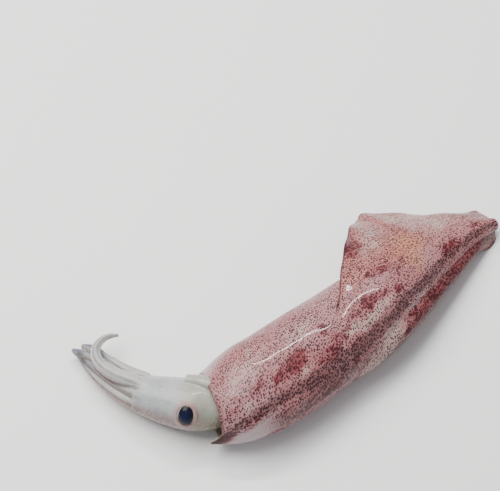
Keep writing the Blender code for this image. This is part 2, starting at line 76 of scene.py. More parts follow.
MANTLE_LENGTH = 0.180
TAIL_X = 0.1750
TAIL_Y = 0.0
MANTLE_HALF_WIDTH = [(0.0, 0.0178), (0.06, 0.0222), (0.15, 0.0244), (0.30, 0.0240), (0.46, 0.0218),
                     (0.60, 0.0178), (0.75, 0.0124), (0.88, 0.0077), (0.96, 0.0055), (1.0, 0.0036)]
MANTLE_HALF_HEIGHT = [(0.0, 0.0142), (0.06, 0.0166), (0.15, 0.0180), (0.30, 0.0180), (0.46, 0.0164),
                      (0.60, 0.0142), (0.75, 0.0105), (0.88, 0.0070), (0.96, 0.0052), (1.0, 0.0034)]
MANTLE_HEADING = [(0.0, 29.0), (0.08, 17.0), (0.20, 6.0), (0.36, 1.0), (0.60, -1.0), (0.84, -1.5), (1.0, 12.0)]
BACK_ROLL = [(0.0, 104.0), (0.08, 80.0), (0.20, 58.0), (0.35, 44.0), (0.46, 34.0), (0.75, 28.0), (1.0, 24.0)]
MANTLE_WALL = 0.0030
RIM_WALL = 0.0013
RECESS_DEPTH = 0.0070
FLAT_BELLY = 0.07
LIFT_START = 0.40
LIFT_FULL = 0.58
BELLY_LIFT = 0.0024
RIM_FADE = 0.11
RIM_FADE_POWER = 1.5
RIM_POINT_LENGTH = 0.0060
RIM_POINT_HALF_ANGLE = 30.0
RIM_POINT_SHARPNESS = 1.3
RIM_SCOOP = 0.0012
RIM_SCOOP_ANGLE = 60.0
RIM_SKEW = 0.0030
MANTLE_ROWS = 300
MANTLE_COLUMNS = 216
RIM_ROUNDING_ROWS = 7
RECESS_ROWS = 6
TAIL_TIP_ROWS = 7
TAIL_TIP_LENGTH = 0.0034

FIN_START = 0.385
FIN_END = {1: 1.020, -1: 1.012}
FIN_WIDTH = 0.0420
FIN_OUTLINE = {
    1: [(0.0, 0.02), (0.012, 0.07), (0.10, 0.22), (0.24, 0.54), (0.38, 0.84), (0.50, 1.10), (0.59, 1.235),
        (0.65, 1.12), (0.72, 0.905), (0.79, 0.71), (0.86, 0.54), (0.934, 0.40), (0.975, 0.30), (0.99, 0.20), (1.0, 0.03)],
    -1: [(0.0, 0.20), (0.008, 0.36), (0.022, 0.50), (0.05, 0.60), (0.12, 0.70), (0.25, 0.80), (0.42, 0.86),
         (0.56, 0.80), (0.66, 0.67), (0.745, 0.52), (0.847, 0.35), (0.934, 0.22), (0.975, 0.16), (1.0, 0.03)],
}
FIN_DROOP = [(0.0, 44.0), (0.45, 26.0), (0.8, 60.0), (1.0, 150.0)]
FIN_ROOT_ANGLE = [(0.0, 31.0), (0.5, 36.0), (1.0, 50.0)]
FIN_ROOT_THICKNESS = 0.0026
FIN_EDGE_THICKNESS = 0.0007
FIN_EMBED = 0.0030
FIN_EMBED_SHARE = 0.4
FIN_ROWS = 230
FIN_COLUMNS = 56
FIN_PATH_STEPS = 60
NEAR_FIN_FORWARD = 0.0110
NEAR_FIN_FORWARD_FADE = 0.50
NEAR_FIN_FORWARD_WIDTH = 0.0210
NEAR_FIN_FLARE_START = 0.80
NEAR_FIN_FLARE_FULL = 0.96
NEAR_FIN_GAP = [(0.0, -0.0010), (0.05, -0.0004), (0.15, 0.0014), (0.3, 0.0026), (0.6, 0.0018), (1.0, 0.0006)]
NEAR_FIN_FAIRING = 26.0
NEAR_FIN_RED_STRIP = [(0.0, 0.019), (0.13, 0.014), (0.30, 0.011), (0.5, 0.007), (0.8, 0.003), (1.0, 0.002)]
NEAR_FIN_RED_HALF = [(0.0, 0.004), (0.2, 0.005), (0.35, 0.008), (0.6, 0.006), (1.0, 0.004)]
FIN_REST = 0.0008
REST_SEARCH_STEPS = 24

NECK_INSIDE = 0.0110
HEAD_LENGTH = 0.0330
HEAD_HEADING = [(-0.011, 30.0), (0.0, 46.0), (0.008, 53.0), (0.020, 57.0), (0.039, 65.0)]
HEAD_HEIGHT = [(-0.011, 0.0150), (0.0, 0.0142), (0.012, 0.0134), (0.033, 0.0112)]
HEAD_SIDE_RADIUS = [(-0.011, 0.0080), (0.0, 0.0108), (0.009, 0.0132), (0.020, 0.0120), (0.033, 0.0098)]
HEAD_BACK_RADIUS = [(-0.011, 0.0080), (0.0, 0.0112), (0.009, 0.0124), (0.020, 0.0116), (0.033, 0.0096)]
HEAD_ROLL = 142.0
HEAD_ROWS = 90
HEAD_COLUMNS = 120
CROWN_ROUNDING = 0.0060
BROW_HEIGHT = 0.0012
BROW_REACH = 0.0065

# Arms: crown angle from the back, length, base radius, headings at root, middle and tip, tip height.
ARMS = {
    "arm_right_1": (-22.0, 0.050, 0.0048, (70.0, 84.0, 96.0), 0.0026),
    "arm_right_2": (-67.0, 0.051, 0.0054, (68.0, 85.0, 100.0), 0.0042),
    "arm_right_3": (-108.0, 0.048, 0.0052, (70.0, 82.0, 88.0), 0.0070),
    "arm_right_4": (-152.0, 0.057, 0.0052, (60.0, 93.0, 225.0), 0.0105),
    "arm_left_1": (22.0, 0.047, 0.0046, (72.0, 82.0, 90.0), 0.0024),
    "arm_left_2": (67.0, 0.044, 0.0046, (73.0, 80.0, 88.0), 0.0026),
    "arm_left_3": (112.0, 0.042, 0.0047, (70.0, 80.0, 88.0), 0.0036),
    "arm_left_4": (158.0, 0.041, 0.0046, (66.0, 80.0, 86.0), 0.0075),
}
CURLED_ARM = 3
ARM_CURL_START = 0.55
ARM_TIP_RADIUS = 0.0007
ARM_TAPER_POWER = 0.85
ARM_REST_SHARE = 0.97
ARM_FALL_AT = 0.4
ARM_FALL_SHARE = 0.45
ARM_ROOT_INSIDE = 0.0060
CROWN_SPREAD = 0.58
ROOT_START_SHARE = 0.5
ROOT_SWELL_SHARE = 0.24
LIMB_ROWS = 90
LIMB_COLUMNS = 28
TENTACLES = {
    "tentacle_right": (-130.0, 0.052, 0.0022, (70.0, 82.0, 78.0), 0.0044),
    "tentacle_left": (135.0, 0.048, 0.0022, (70.0, 80.0, 72.0), 0.0030),
}
TENTACLE_THICKNESS = [(0.0, 1.3), (0.3, 1.0), (0.66, 0.9), (0.84, 1.36), (1.0, 0.4)]

EYE_STATION = 0.0090
EYE_HALF_ACROSS = 0.0054
EYE_HALF_ALONG = 0.0046
EYE_HALF_DEPTH = 0.0040
EYE_PROUD = 0.0012
PUPIL_TALLNESS = 0.80

FUNNEL_LENGTH = 0.0135
FUNNEL_RADIUS = 0.0046
FUNNEL_TIP_RADIUS = 0.0030
FUNNEL_RISE = 0.10
FUNNEL_FLATNESS = 0.72
FUNNEL_INSIDE = 0.0060

# ---------------------------------------------------------------- colour bands of the skin

# Middle of each band and its half width, in degrees round the mantle from the middle of the back
# (minus is the far side), station by station.
DARK_BAND = [(0.0, -14.0), (0.05, -34.0), (0.12, -26.0), (0.17, -19.0), (0.22, -8.0), (0.33, 1.0), (0.40, 8.0),
             (0.45, 10.0), (0.52, 18.0), (0.60, 13.0), (0.68, 17.0), (0.76, 10.0), (1.0, 4.0)]
DARK_BAND_HALF = [(0.0, 16.0), (0.06, 10.0), (0.15, 10.0), (0.30, 17.0), (0.45, 15.0), (0.60, 14.0), (1.0, 20.0)]
LOWER_BAND = [(0.0, 4.0), (0.08, 12.0), (0.15, 14.0), (0.26, 22.0), (0.36, 28.0), (0.45, 34.0)]
LOWER_BAND_HALF = [(0.0, 8.0), (0.10, 14.0), (0.20, 22.0), (0.36, 22.0), (0.45, 10.0)]
CRIMSON_BAND = [(0.0, -55.0), (0.05, -55.0), (0.11, -52.0), (0.18, -42.0), (0.23, -37.0), (0.30, -26.0),
                (0.36, -18.0), (0.44, -22.0), (0.52, -20.0), (0.60, -9.0)]
CRIMSON_BAND_HALF = [(0.0, 6.0), (0.08, 10.0), (0.18, 12.0), (0.30, 10.0), (0.44, 10.0), (0.60, 8.0)]
# Single blotches: station, degrees from the middle of the back, half length in stations, half width in degrees
# and strength.
CRIMSON_BLOTCHES = [
    (0.225, -39.0, 0.050, 13.0, 1.0), (0.175, -42.0, 0.040, 10.0, 0.8), (0.108, -54.0, 0.040, 9.0, 0.6),
    (0.345, -42.0, 0.025, 8.0, 0.7), (0.333, -18.0, 0.060, 12.0, 0.75), (0.392, 3.0, 0.040, 16.0, 0.55),
    (0.430, -24.0, 0.030, 8.0, 0.5), (0.500, -21.0, 0.045, 12.0, 0.95), (0.592, -8.0, 0.022, 8.0, 1.0),
    (0.825, -13.0, 0.055, 24.0, 0.85), (0.075, -24.0, 0.035, 10.0, 0.55), (0.125, 24.0, 0.050, 10.0, 0.75),
    (0.192, 17.0, 0.060, 16.0, 0.65), (0.280, 24.0, 0.080, 16.0, 0.65), (0.370, 20.0, 0.040, 12.0, 0.55),
    (0.010, -14.0, 0.020, 18.0, 0.85), (0.940, -60.0, 0.050, 60.0, 0.5), (0.66, 46.0, 0.06, 10.0, 0.8),
]
TAN_BLOTCHES = [(0.70, -34.0, 0.050, 26.0, 0.8), (0.78, -50.0, 0.04, 20.0, 0.6)]
PALE_BLOTCHES = [
    (0.090, -85.0, 0.110, 45.0, 0.4), (0.075, -45.0, 0.030, 9.0, 0.7), (0.225, -22.0, 0.050, 8.0, 0.7),
    (0.475, -4.0, 0.060, 9.0, 0.9), (0.540, -5.0, 0.040, 7.0, 0.7), (0.650, 28.0, 0.050, 7.0, 0.6),
    (0.470, 40.0, 0.060, 10.0, 0.7), (0.300, -60.0, 0.080, 16.0, 0.5), (0.417, -14.0, 0.032, 7.0, 0.9), (0.508, -9.0, 0.030, 6.0, 1.0),
    (0.508, 32.0, 0.045, 9.0, 1.0), (0.58, 34.0, 0.050, 8.0, 0.7),
]


def smooth_table(knots, value):
    """Read a smooth curve through the knots, for a number or an array; outside them it keeps the end values."""
    xs, ys = np.array(knots, float).T
    value = np.clip(value, xs[0], xs[-1])
    steps = np.diff(ys) / np.diff(xs)
    slopes = np.concatenate(([steps[0]], (steps[:-1] + steps[1:]) / 2.0, [steps[-1]]))
    turning = np.concatenate(([False], steps[:-1] * steps[1:] <= 0.0, [False]))
    slopes[turning] = 0.0
    i = np.clip(np.searchsorted(xs, value, side="right") - 1, 0, len(xs) - 2)
    span = xs[i + 1] - xs[i]
    t = (value - xs[i]) / span
    return ((2 * t**3 - 3 * t**2 + 1) * ys[i] + (t**3 - 2 * t**2 + t) * span * slopes[i]
            + (3 * t**2 - 2 * t**3) * ys[i + 1] + (t**3 - t**2) * span * slopes[i + 1])


def smooth_step(value, low=0.0, high=1.0):
    t = np.clip((np.asarray(value, float) - low) / (high - low), 0.0, 1.0)
    return t * t * (3.0 - 2.0 * t)


def heading_vector(degrees):
    """Level direction that turns from -X towards +Y."""
    a = np.radians(degrees)
    return np.stack([-np.cos(a), np.sin(a), np.zeros_like(a)], axis=-1)


def near_vector(degrees):
    """Level direction square to a heading, on the -Y side of the mantle and the -X side of the head."""
    a = np.radians(degrees)
    return np.stack([-np.sin(a), -np.cos(a), np.zeros_like(a)], axis=-1)


UP = np.array([0.0, 0.0, 1.0])


def soft_noise(points, wavelength, seed=0.0):
    """Smooth noise from -1 to 1 at each point."""
    scale = 1.0 / wavelength
    return np.array([noise.noise((p[0] * scale + seed, p[1] * scale - seed, p[2] * scale)) for p in points])


# ---------------------------------------------------------------- mantle form

WALK = np.linspace(1.0, -0.1, 1101)
WALK_HEADING = heading_vector(smooth_table(MANTLE_HEADING, (WALK[:-1] + WALK[1:]) / 2.0))
WALK_POINTS = np.vstack([[TAIL_X, TAIL_Y, 0.0], WALK_HEADING * MANTLE_LENGTH * -np.diff(WALK)[:, None]]).cumsum(0)


def mantle_centre(station):
    """Centre of the mantle's section, walked forward from the tail along the heading."""
    station = np.asarray(station, float)
    x = np.interp(station, WALK[::-1], WALK_POINTS[::-1, 0])
    y = np.interp(station, WALK[::-1], WALK_POINTS[::-1, 1])
    half_height = smooth_table(MANTLE_HALF_HEIGHT, station)
    resting = half_height * (1.0 - FLAT_BELLY)
    share = smooth_step(station, LIFT_START, LIFT_FULL)
    return np.stack([x, y, resting + (half_height + BELLY_LIFT - resting) * share], axis=-1)


def mantle_section(station, degrees, outset=0.0):
    """Points of the mantle's oval section; the angle turns from straight up towards -Y."""
    station, degrees, outset = np.broadcast_arrays(np.asarray(station, float), degrees, outset)
    a = np.radians(degrees)
    near = near_vector(smooth_table(MANTLE_HEADING, station))
    across = (smooth_table(MANTLE_HALF_WIDTH, station) + outset) * np.sin(a)
    up = (smooth_table(MANTLE_HALF_HEIGHT, station) + outset) * np.cos(a)
    return mantle_centre(station) + near * across[..., None] + UP * up[..., None]


def from_back(station, degrees):
    """Angle from the middle of the back, from -180 to 180, minus on the far side."""
    return (degrees - smooth_table(BACK_ROLL, station) + 180.0) % 360.0 - 180.0


def rim_forward(degrees):
    """How far the rim reaches forward: a point over the back, scooped out elsewhere."""
    away = np.abs(from_back(0.0, degrees))
    point = np.maximum(0.0, 1.0 - away / RIM_POINT_HALF_ANGLE) ** RIM_POINT_SHARPNESS
    scoop = smooth_step((away - RIM_POINT_HALF_ANGLE) / RIM_SCOOP_ANGLE)
    return RIM_POINT_LENGTH * point - RIM_SCOOP * scoop - RIM_SKEW * np.sin(np.radians(degrees))


def band(middle, half, station, around):
    """Soft mask of a lengthwise band."""
    away = np.abs(around - smooth_table(middle, station)) / smooth_table(half, station)
    return 1.0 - smooth_step(away, 0.1, 1.5)


def blotch(place, station, around):
    """Soft mask of one oval blotch."""
    along, degrees, half_length, half_width, strength = place
    away = np.hypot((station - along) / half_length, (around - degrees) / half_width)
    return strength * (1.0 - smooth_step(away, 0.0, 1.5))


def strongest(places, station, around):
    """Strongest of several blotches at each point."""
    return np.max([blotch(place, station, around) for place in places], axis=0)


def skin_masks(station, around):
    """Masks of the skin's colours at a station and an angle from the middle of the back."""
    lower_run = smooth_step(station, 0.05, 0.15) * (1.0 - smooth_step(station, 0.40, 0.50))
    dark = band(DARK_BAND, DARK_BAND_HALF, station, around)
    lower = band(LOWER_BAND, LOWER_BAND_HALF, station, around) * lower_run
    stripe = band(CRIMSON_BAND, CRIMSON_BAND_HALF, station, around) * (1.0 - smooth_step(station, 0.55, 0.66))
    crimson = np.maximum(strongest(CRIMSON_BLOTCHES, station, around), stripe * 0.45)
    belly = smooth_step(np.abs(around), 112.0, 160.0)
    lower_front = smooth_step(around, -24.0, -10.0) * smooth_step(station, 0.012, 0.028) * (1.0 - smooth_step(station, 0.07, 0.15))
    pale = strongest(PALE_BLOTCHES, station, around)
    kept = 1.0 - 0.6 * pale
    return {
        "dark": np.maximum(dark * 0.80, lower * 0.42) * kept * (1.0 - 0.8 * lower_front),
        "crimson": np.maximum(crimson, lower * 0.34) * kept,
        "tan": strongest(TAN_BLOTCHES, station, around),
        "pale": pale,
        "belly": np.maximum(belly, lower_front),
    }


# ---------------------------------------------------------------- fins

def fin_share(station, side):
    """How far along a lobe a station is; side is 1 for the far lobe and -1 for the near one."""
    return (station - FIN_START) / (FIN_END[side] - FIN_START)


def fin_root_degrees(station, side):
    """Section angle where a lobe grows out."""
    return float(smooth_table(BACK_ROLL, station) - side * smooth_table(FIN_ROOT_ANGLE, fin_share(station, side)))


def walk_along(points, distances):
    """Points at given distances along a polyline."""
    lengths = np.concatenate([[0.0], np.linalg.norm(np.diff(points, axis=0), axis=1).cumsum()])
    return np.stack([np.interp(distances, lengths, points[:, i]) for i in range(3)], axis=-1)


def fin_arc(slope, droop, reach):
    """Angle above level of each short step along a drooping lobe."""
    return slope - math.radians(droop) / FIN_WIDTH * reach * (np.arange(FIN_PATH_STEPS) + 0.5) / FIN_PATH_STEPS


def resting_droop(height, slope, droop, reach):
    """The given droop, or less where the lobe's margin comes to rest on the board."""
    def margin(bend):
        return height + np.sin(fin_arc(slope, bend, reach)).sum() * reach / FIN_PATH_STEPS

    if margin(droop) > FIN_REST:
        return droop
    low, high = -droop, droop
    for _ in range(REST_SEARCH_STEPS):
        middle = (low + high) / 2.0
        low, high = (middle, high) if margin(middle) > FIN_REST else (low, middle)
    return low


def open_fin_path(station, side, reach):
    """Middle of a spread lobe's thickness: it leaves the mantle level and droops like an arc."""
    share = fin_share(station, side)
    root = fin_root_degrees(station, side)
    a = math.radians(root)
    out = -near_vector(smooth_table(MANTLE_HEADING, station)) * side
    start = mantle_section(station, root, -FIN_ROOT_THICKNESS / 2.0)
    slope = math.atan2(side * smooth_table(MANTLE_HALF_HEIGHT, station) * math.sin(a),
                       smooth_table(MANTLE_HALF_WIDTH, station) * math.cos(a))
    step = reach / FIN_PATH_STEPS
    angle = fin_arc(slope, resting_droop(start[2], slope, float(smooth_table(FIN_DROOP, share)), reach), reach)
    moves = (out * np.cos(angle)[:, None] + UP * np.sin(angle)[:, None]) * step
    points = np.vstack([start, start + moves.cumsum(0)])
    points[:, 2] = np.maximum(points[:, 2], FIN_REST)
    return points


def tucked_fin_path(station):
    """Middle of the near lobe's thickness: down the near flank, then flat under the belly."""
    root = fin_root_degrees(station, -1)
    gap = smooth_table(NEAR_FIN_GAP, fin_share(station, -1))
    far = -near_vector(smooth_table(MANTLE_HEADING, station))
    turn = np.linspace(0.0, 200.0, FIN_PATH_STEPS * 2)
    free = smooth_step(turn / NEAR_FIN_FAIRING)
    outset = -FIN_ROOT_THICKNESS / 2.0 + (FIN_ROOT_THICKNESS + gap) * free
    points = mantle_section(station, np.minimum(root + turn, 180.0), outset)
    past = np.radians(np.maximum(0.0, root + turn - 180.0))
    points = points + far * past[:, None] * smooth_table(MANTLE_HALF_WIDTH, station)
    points[:, 2] = np.maximum(points[:, 2], FIN_REST)
    return points


def fin_path(station, side, distances):
    """The lobe's middle line; the near lobe changes from tucked under to spread near the tail."""
    spread = walk_along(open_fin_path(station, side, distances[-1]), distances)
    if side > 0:
        return spread
    share = fin_share(station, side)
    flare = smooth_step(share, NEAR_FIN_FLARE_START, NEAR_FIN_FLARE_FULL)
    forward = NEAR_FIN_FORWARD * max(0.0, 1.0 - share / NEAR_FIN_FORWARD_FADE)
    tucked = walk_along(tucked_fin_path(station), distances)
    ahead = heading_vector(smooth_table(MANTLE_HEADING, station))
    return tucked + (spread - tucked) * flare + ahead * (forward * distances / NEAR_FIN_FORWARD_WIDTH)[:, None]


# ---------------------------------------------------------------- head and limbs form

HEAD_WALK = np.linspace(-0.012, 0.042, 541)


def head_line():
    """Level path of the head's centre, from inside the rim to the crown."""
    ahead = heading_vector(smooth_table(HEAD_HEADING, (HEAD_WALK[:-1] + HEAD_WALK[1:]) / 2.0))
    points = np.vstack([[0.0, 0.0, 0.0], ahead * np.diff(HEAD_WALK)[:, None]]).cumsum(0)
    start = np.array([np.interp(0.0, HEAD_WALK, points[:, i]) for i in range(3)])
    return points - start + mantle_centre(0.0) * np.array([1.0, 1.0, 0.0])


HEAD_POINTS = head_line()


def head_centre(reach):
    """Centre of the head's section at a distance in front of the rim, negative inside it."""
    reach = np.asarray(reach, float)
    x = np.interp(reach, HEAD_WALK, HEAD_POINTS[:, 0])
    y = np.interp(reach, HEAD_WALK, HEAD_POINTS[:, 1])
    return np.stack([x, y, smooth_table(HEAD_HEIGHT, reach)], axis=-1)


def head_direction(reach, degrees):
    """Outward direction in the head's section; the angle turns from straight up to the near side."""
    reach, degrees = np.broadcast_arrays(np.asarray(reach, float), degrees)
    a = np.radians(degrees)[..., None]
    return near_vector(smooth_table(HEAD_HEADING, reach)) * np.sin(a) + UP * np.cos(a)


def head_radius(reach, degrees):
    """Oval section, wider from eye to eye, with a low swelling round each eye."""
    reach, degrees = np.broadcast_arrays(np.asarray(reach, float), degrees)
    a = np.radians(degrees - HEAD_ROLL)
    back = smooth_table(HEAD_BACK_RADIUS, reach)
    side = smooth_table(HEAD_SIDE_RADIUS, reach)
    radius = 1.0 / np.hypot(np.cos(a) / back, np.sin(a) / side)
    for eye_degrees in (HEAD_ROLL - 90.0, HEAD_ROLL + 90.0):
        around = np.radians((degrees - eye_degrees + 180.0) % 360.0 - 180.0) * side
        away = np.hypot(around, reach - EYE_STATION) / BROW_REACH
        radius = radius + BROW_HEIGHT * np.exp(-away * away)
    return radius


def eye_matrix(side):
    """Place and size of an eye's oval ball: side is 1 for the right eye and -1 for the left."""
    degrees = HEAD_ROLL - side * 90.0
    outward = Vector(head_direction(EYE_STATION, degrees))
    ahead = Vector(heading_vector(smooth_table(HEAD_HEADING, EYE_STATION)))
    across = outward.cross(ahead)
    surface = Vector(head_centre(EYE_STATION)) + outward * float(head_radius(EYE_STATION, degrees))
    centre = surface - outward * (EYE_HALF_DEPTH - EYE_PROUD)
    turn = Matrix((ahead, across, outward)).transposed().to_4x4()
    size = Matrix.Diagonal((EYE_HALF_ALONG, EYE_HALF_ACROSS, EYE_HALF_DEPTH, 1.0))
    return Matrix.Translation(centre) @ turn @ size


def limb_path(crown_degrees, length, headings, tip_height, stations):
    """Walk a limb's centre line out from the crown, turning evenly and then curling at its tip."""
    root_reach = HEAD_LENGTH - ARM_ROOT_INSIDE
    degrees = HEAD_ROLL + crown_degrees
    radius = head_radius(root_reach, degrees) * CROWN_SPREAD
    start = head_centre(root_reach) + head_direction(root_reach, degrees) * radius
    share = np.linspace(0.0, 1.0, stations)
    turns = [(0.0, headings[0]), (ARM_CURL_START, headings[1]), (1.0, headings[2])]
    partway = start[2] + (tip_height - start[2]) * ARM_FALL_SHARE
    heights = [(0.0, start[2]), (ARM_FALL_AT, partway), (1.0, tip_height)]
    moves = heading_vector(smooth_table(turns, (share[:-1] + share[1:]) / 2.0)) * length / (stations - 1)
    points = start + np.vstack([[0.0, 0.0, 0.0], moves]).cumsum(0)
    points[:, 2] = smooth_table(heights, share)
    return points


def frames_along(points):
    """Ahead, side and up directions along a path."""
    ahead = np.gradient(points, axis=0)
    ahead /= np.linalg.norm(ahead, axis=1)[:, None]
    side = np.cross(ahead, UP)
    side /= np.linalg.norm(side, axis=1)[:, None]
    return ahead, side, np.cross(side, ahead)


def limbs():
    """Every arm and tentacle: name, path and radius at each point."""
    share = np.linspace(0.0, 1.0, LIMB_ROWS)
    found = []
    for name, (crown, length, radius, headings, tip_height) in ARMS.items():
        points = limb_path(crown, length, headings, tip_height, LIMB_ROWS)
        radii = ARM_TIP_RADIUS + (radius - ARM_TIP_RADIUS) * (1.0 - share) ** ARM_TAPER_POWER
        found.append((name, points, radii))
    for name, (crown, length, radius, headings, tip_height) in TENTACLES.items():
        points = limb_path(crown, length, headings, tip_height, LIMB_ROWS)
        found.append((name, points, radius * smooth_table(TENTACLE_THICKNESS, share)))
    for name, points, radii in found:
        points[:, 2] = np.maximum(points[:, 2], radii * ARM_REST_SHARE)
    return found


def frame_shift():
    """The shift from the animal's own axes to the frame: the right eye's place in both."""
    low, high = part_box("eye_right")
    centre = (low + high) / 2.0
    return centre - eye_matrix(1).to_translation()


SHIFT = np.array(frame_shift())

# ---------------------------------------------------------------- mesh making

END_POINTS = 2


def mesh_from_rows(name, rows):
    """Closed mesh through rows of points of equal count, with a middle point closing each end."""
    rows = np.asarray(rows, float)
    count, columns, _ = rows.shape
    points = np.vstack([rows.reshape(-1, 3), rows[0].mean(0)[None], rows[-1].mean(0)[None]])
    k = np.arange(columns)
    after = (k + 1) % columns
    quads = []
    for r in range(count - 1):
        low, high = r * columns, (r + 1) * columns
        quads.append(np.stack([low + k, low + after, high + after, high + k], axis=-1))
    faces = np.vstack(quads).tolist()
    first, last = count * columns, count * columns + 1
    end = (count - 1) * columns
    faces += [[int(after[i]), int(k[i]), first] for i in range(columns)]
    faces += [[end + int(k[i]), end + int(after[i]), last] for i in range(columns)]
    mesh = bpy.data.meshes.new(name)
    mesh.from_pydata(points.tolist(), [], faces)
    face_outwards(mesh)
    return mesh


def face_outwards(mesh):
    bm = bmesh.new()
    bm.from_mesh(mesh)
    bmesh.ops.recalc_face_normals(bm, faces=bm.faces[:])
    bm.to_mesh(mesh)
    bm.free()
    mesh.shade_smooth()


def mesh_points(mesh):
    points = np.empty(len(mesh.vertices) * 3)
    mesh.vertices.foreach_get("co", points)
    return points.reshape(-1, 3)


def mesh_normals(mesh):
    normals = np.empty(len(mesh.vertices) * 3)
    mesh.vertex_normals.foreach_get("vector", normals)
    return normals.reshape(-1, 3)


def move_points(mesh, points):
    mesh.vertices.foreach_set("co", np.ascontiguousarray(points, dtype=np.float32).ravel())
    mesh.update()


def add_mask(mesh, name, values):
    """Store one number per vertex for a material to read."""
    attribute = mesh.attributes.new(name, "FLOAT", "POINT")
    attribute.data.foreach_set("value", np.ascontiguousarray(values, dtype=np.float32))


def add_sheet(mesh, along, across):
    """Store each vertex's place on the flattened skin, in metres, with the two end points at its corner."""
    flat = np.zeros((len(mesh.vertices), 3), np.float32)
    flat[:len(along), 0] = along
    flat[:len(along), 1] = across
    attribute = mesh.attributes.new("sheet", "FLOAT_VECTOR", "POINT")
    attribute.data.foreach_set("vector", flat.ravel())


def add_piece(name, mesh, material):
    """Link a finished piece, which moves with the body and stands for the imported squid."""
    mesh.materials.clear()
    mesh.materials.append(material)
    piece = bpy.data.objects.new(name, mesh)
    bpy.context.scene.collection.objects.link(piece)
    return piece


def skin_relief(points):
    """Height of the skin's soft hollows and swellings at each point."""
    return 0.00016 * soft_noise(points, 0.027, 3.1) + 0.00005 * soft_noise(points, 0.0075, 7.7)


def mantle_rows_table():
    """Station, inset and forward reach of each ring, from the recess floor over the rim to the tail tip."""
    depth = RECESS_DEPTH / MANTLE_LENGTH
    table = []
    for t in np.linspace(1.0, 0.0, RECESS_ROWS, endpoint=False):
        table.append((depth * t, RIM_WALL + (MANTLE_WALL - RIM_WALL) * t, 0.0, 0.0))
    for t in np.linspace(0.0, 1.0, RIM_ROUNDING_ROWS, endpoint=False):
        turn = math.pi * t
        table.append((0.0, RIM_WALL * (1.0 + math.cos(turn)) / 2.0, RIM_WALL * 0.4 * math.sin(turn), smooth_step(t, 0.2, 0.6)))
    for t in np.linspace(0.0, 1.0, MANTLE_ROWS):
        table.append((t, 0.0, 0.0, 1.0))
    return np.array(table)


def mantle_mesh():
    """The body tube with its rim, shallow recess and rounded tail."""
    table = mantle_rows_table()
    degrees = np.linspace(0.0, 360.0, MANTLE_COLUMNS, endpoint=False)
    station, around = np.meshgrid(table[:, 0], degrees, indexing="ij")
    inset = np.repeat(table[:, 1][:, None], MANTLE_COLUMNS, axis=1)
    forward = np.repeat(table[:, 2][:, None], MANTLE_COLUMNS, axis=1)
    fade = np.maximum(0.0, 1.0 - station / RIM_FADE) ** RIM_FADE_POWER
    points = mantle_section(station, around, -inset)
    ahead = heading_vector(smooth_table(MANTLE_HEADING, station))
    points = points + ahead * (rim_forward(around) * fade + forward)[..., None]
    rows = list(points)
    masks_station, masks_around = list(station), list(around)
    for t in np.linspace(0.0, 1.0, TAIL_TIP_ROWS)[1:]:
        shrink = math.sqrt(max(1.0 - t * t, 0.0004))
        middle = mantle_centre(1.0)
        tip = middle + (points[-1] - middle) * shrink - ahead[-1] * TAIL_TIP_LENGTH * t
        rows.append(tip)
        masks_station.append(station[-1])
        masks_around.append(around[-1])
    rows = np.array(rows)
    station, around = np.array(masks_station), np.array(masks_around)
    flat = rows.reshape(-1, 3)
    outward = flat - mantle_centre(station.ravel())
    outward /= np.linalg.norm(outward, axis=1)[:, None] + 1e-9
    tip_points = (TAIL_TIP_ROWS - 1) * MANTLE_COLUMNS
    is_skin = np.concatenate([np.repeat(table[:, 3], MANTLE_COLUMNS), np.zeros(tip_points)])
    back = from_back(station.ravel(), around.ravel())
    keel = 0.0004 * np.exp(-(back / 9.0) ** 2) * smooth_step(station.ravel(), 0.0, 0.05)
    keel *= 1.0 - smooth_step(station.ravel(), 0.5, 0.9)
    free = smooth_step(flat[:, 2], 0.0005, 0.006) * smooth_step(station.ravel(), 0.0, 0.03)
    free *= 1.0 - smooth_step(station.ravel(), 0.9, 1.0)
    flat = flat + outward * ((skin_relief(flat) * free + keel) * is_skin)[:, None]
    inset = np.concatenate([np.repeat(table[:, 1], MANTLE_COLUMNS), np.zeros(tip_points)])
    flat[:, 2] = np.maximum(flat[:, 2], inset * 0.8)
    mesh = mesh_from_rows("mantle", (flat + SHIFT).reshape(rows.shape))
    masks = skin_masks(station.ravel(), back)
    # Wall mask: the inside of the tube, coloured dull olive, partly painted shade inside the rim.
    wall = 1.0 - np.concatenate([np.repeat(table[:, 3], MANTLE_COLUMNS), np.ones(tip_points)])
    rim_line = (1.0 - smooth_step(station.ravel(), 0.0, 0.007)) * 0.6
    rim_point = (1.0 - smooth_step(station.ravel(), 0.0, 0.030)) * (1.0 - smooth_step(np.abs(back), 8.0, 36.0)) * 1.1
    masks["edge"] = np.maximum(rim_line, rim_point)
    masks["fin"] = smooth_step(station.ravel(), 0.80, 1.0) * 0.6
    blank = np.zeros(END_POINTS)
    for name, values in masks.items():
        add_mask(mesh, name, np.concatenate([values * (1.0 - wall), blank]))
    add_mask(mesh, "wall", np.concatenate([wall, [1.0, 0.0]]))
    girth = (smooth_table(MANTLE_HALF_WIDTH, station.ravel()) + smooth_table(MANTLE_HALF_HEIGHT, station.ravel())) / 2.0
    add_sheet(mesh, station.ravel() * MANTLE_LENGTH, np.radians(back) * girth)
    return mesh


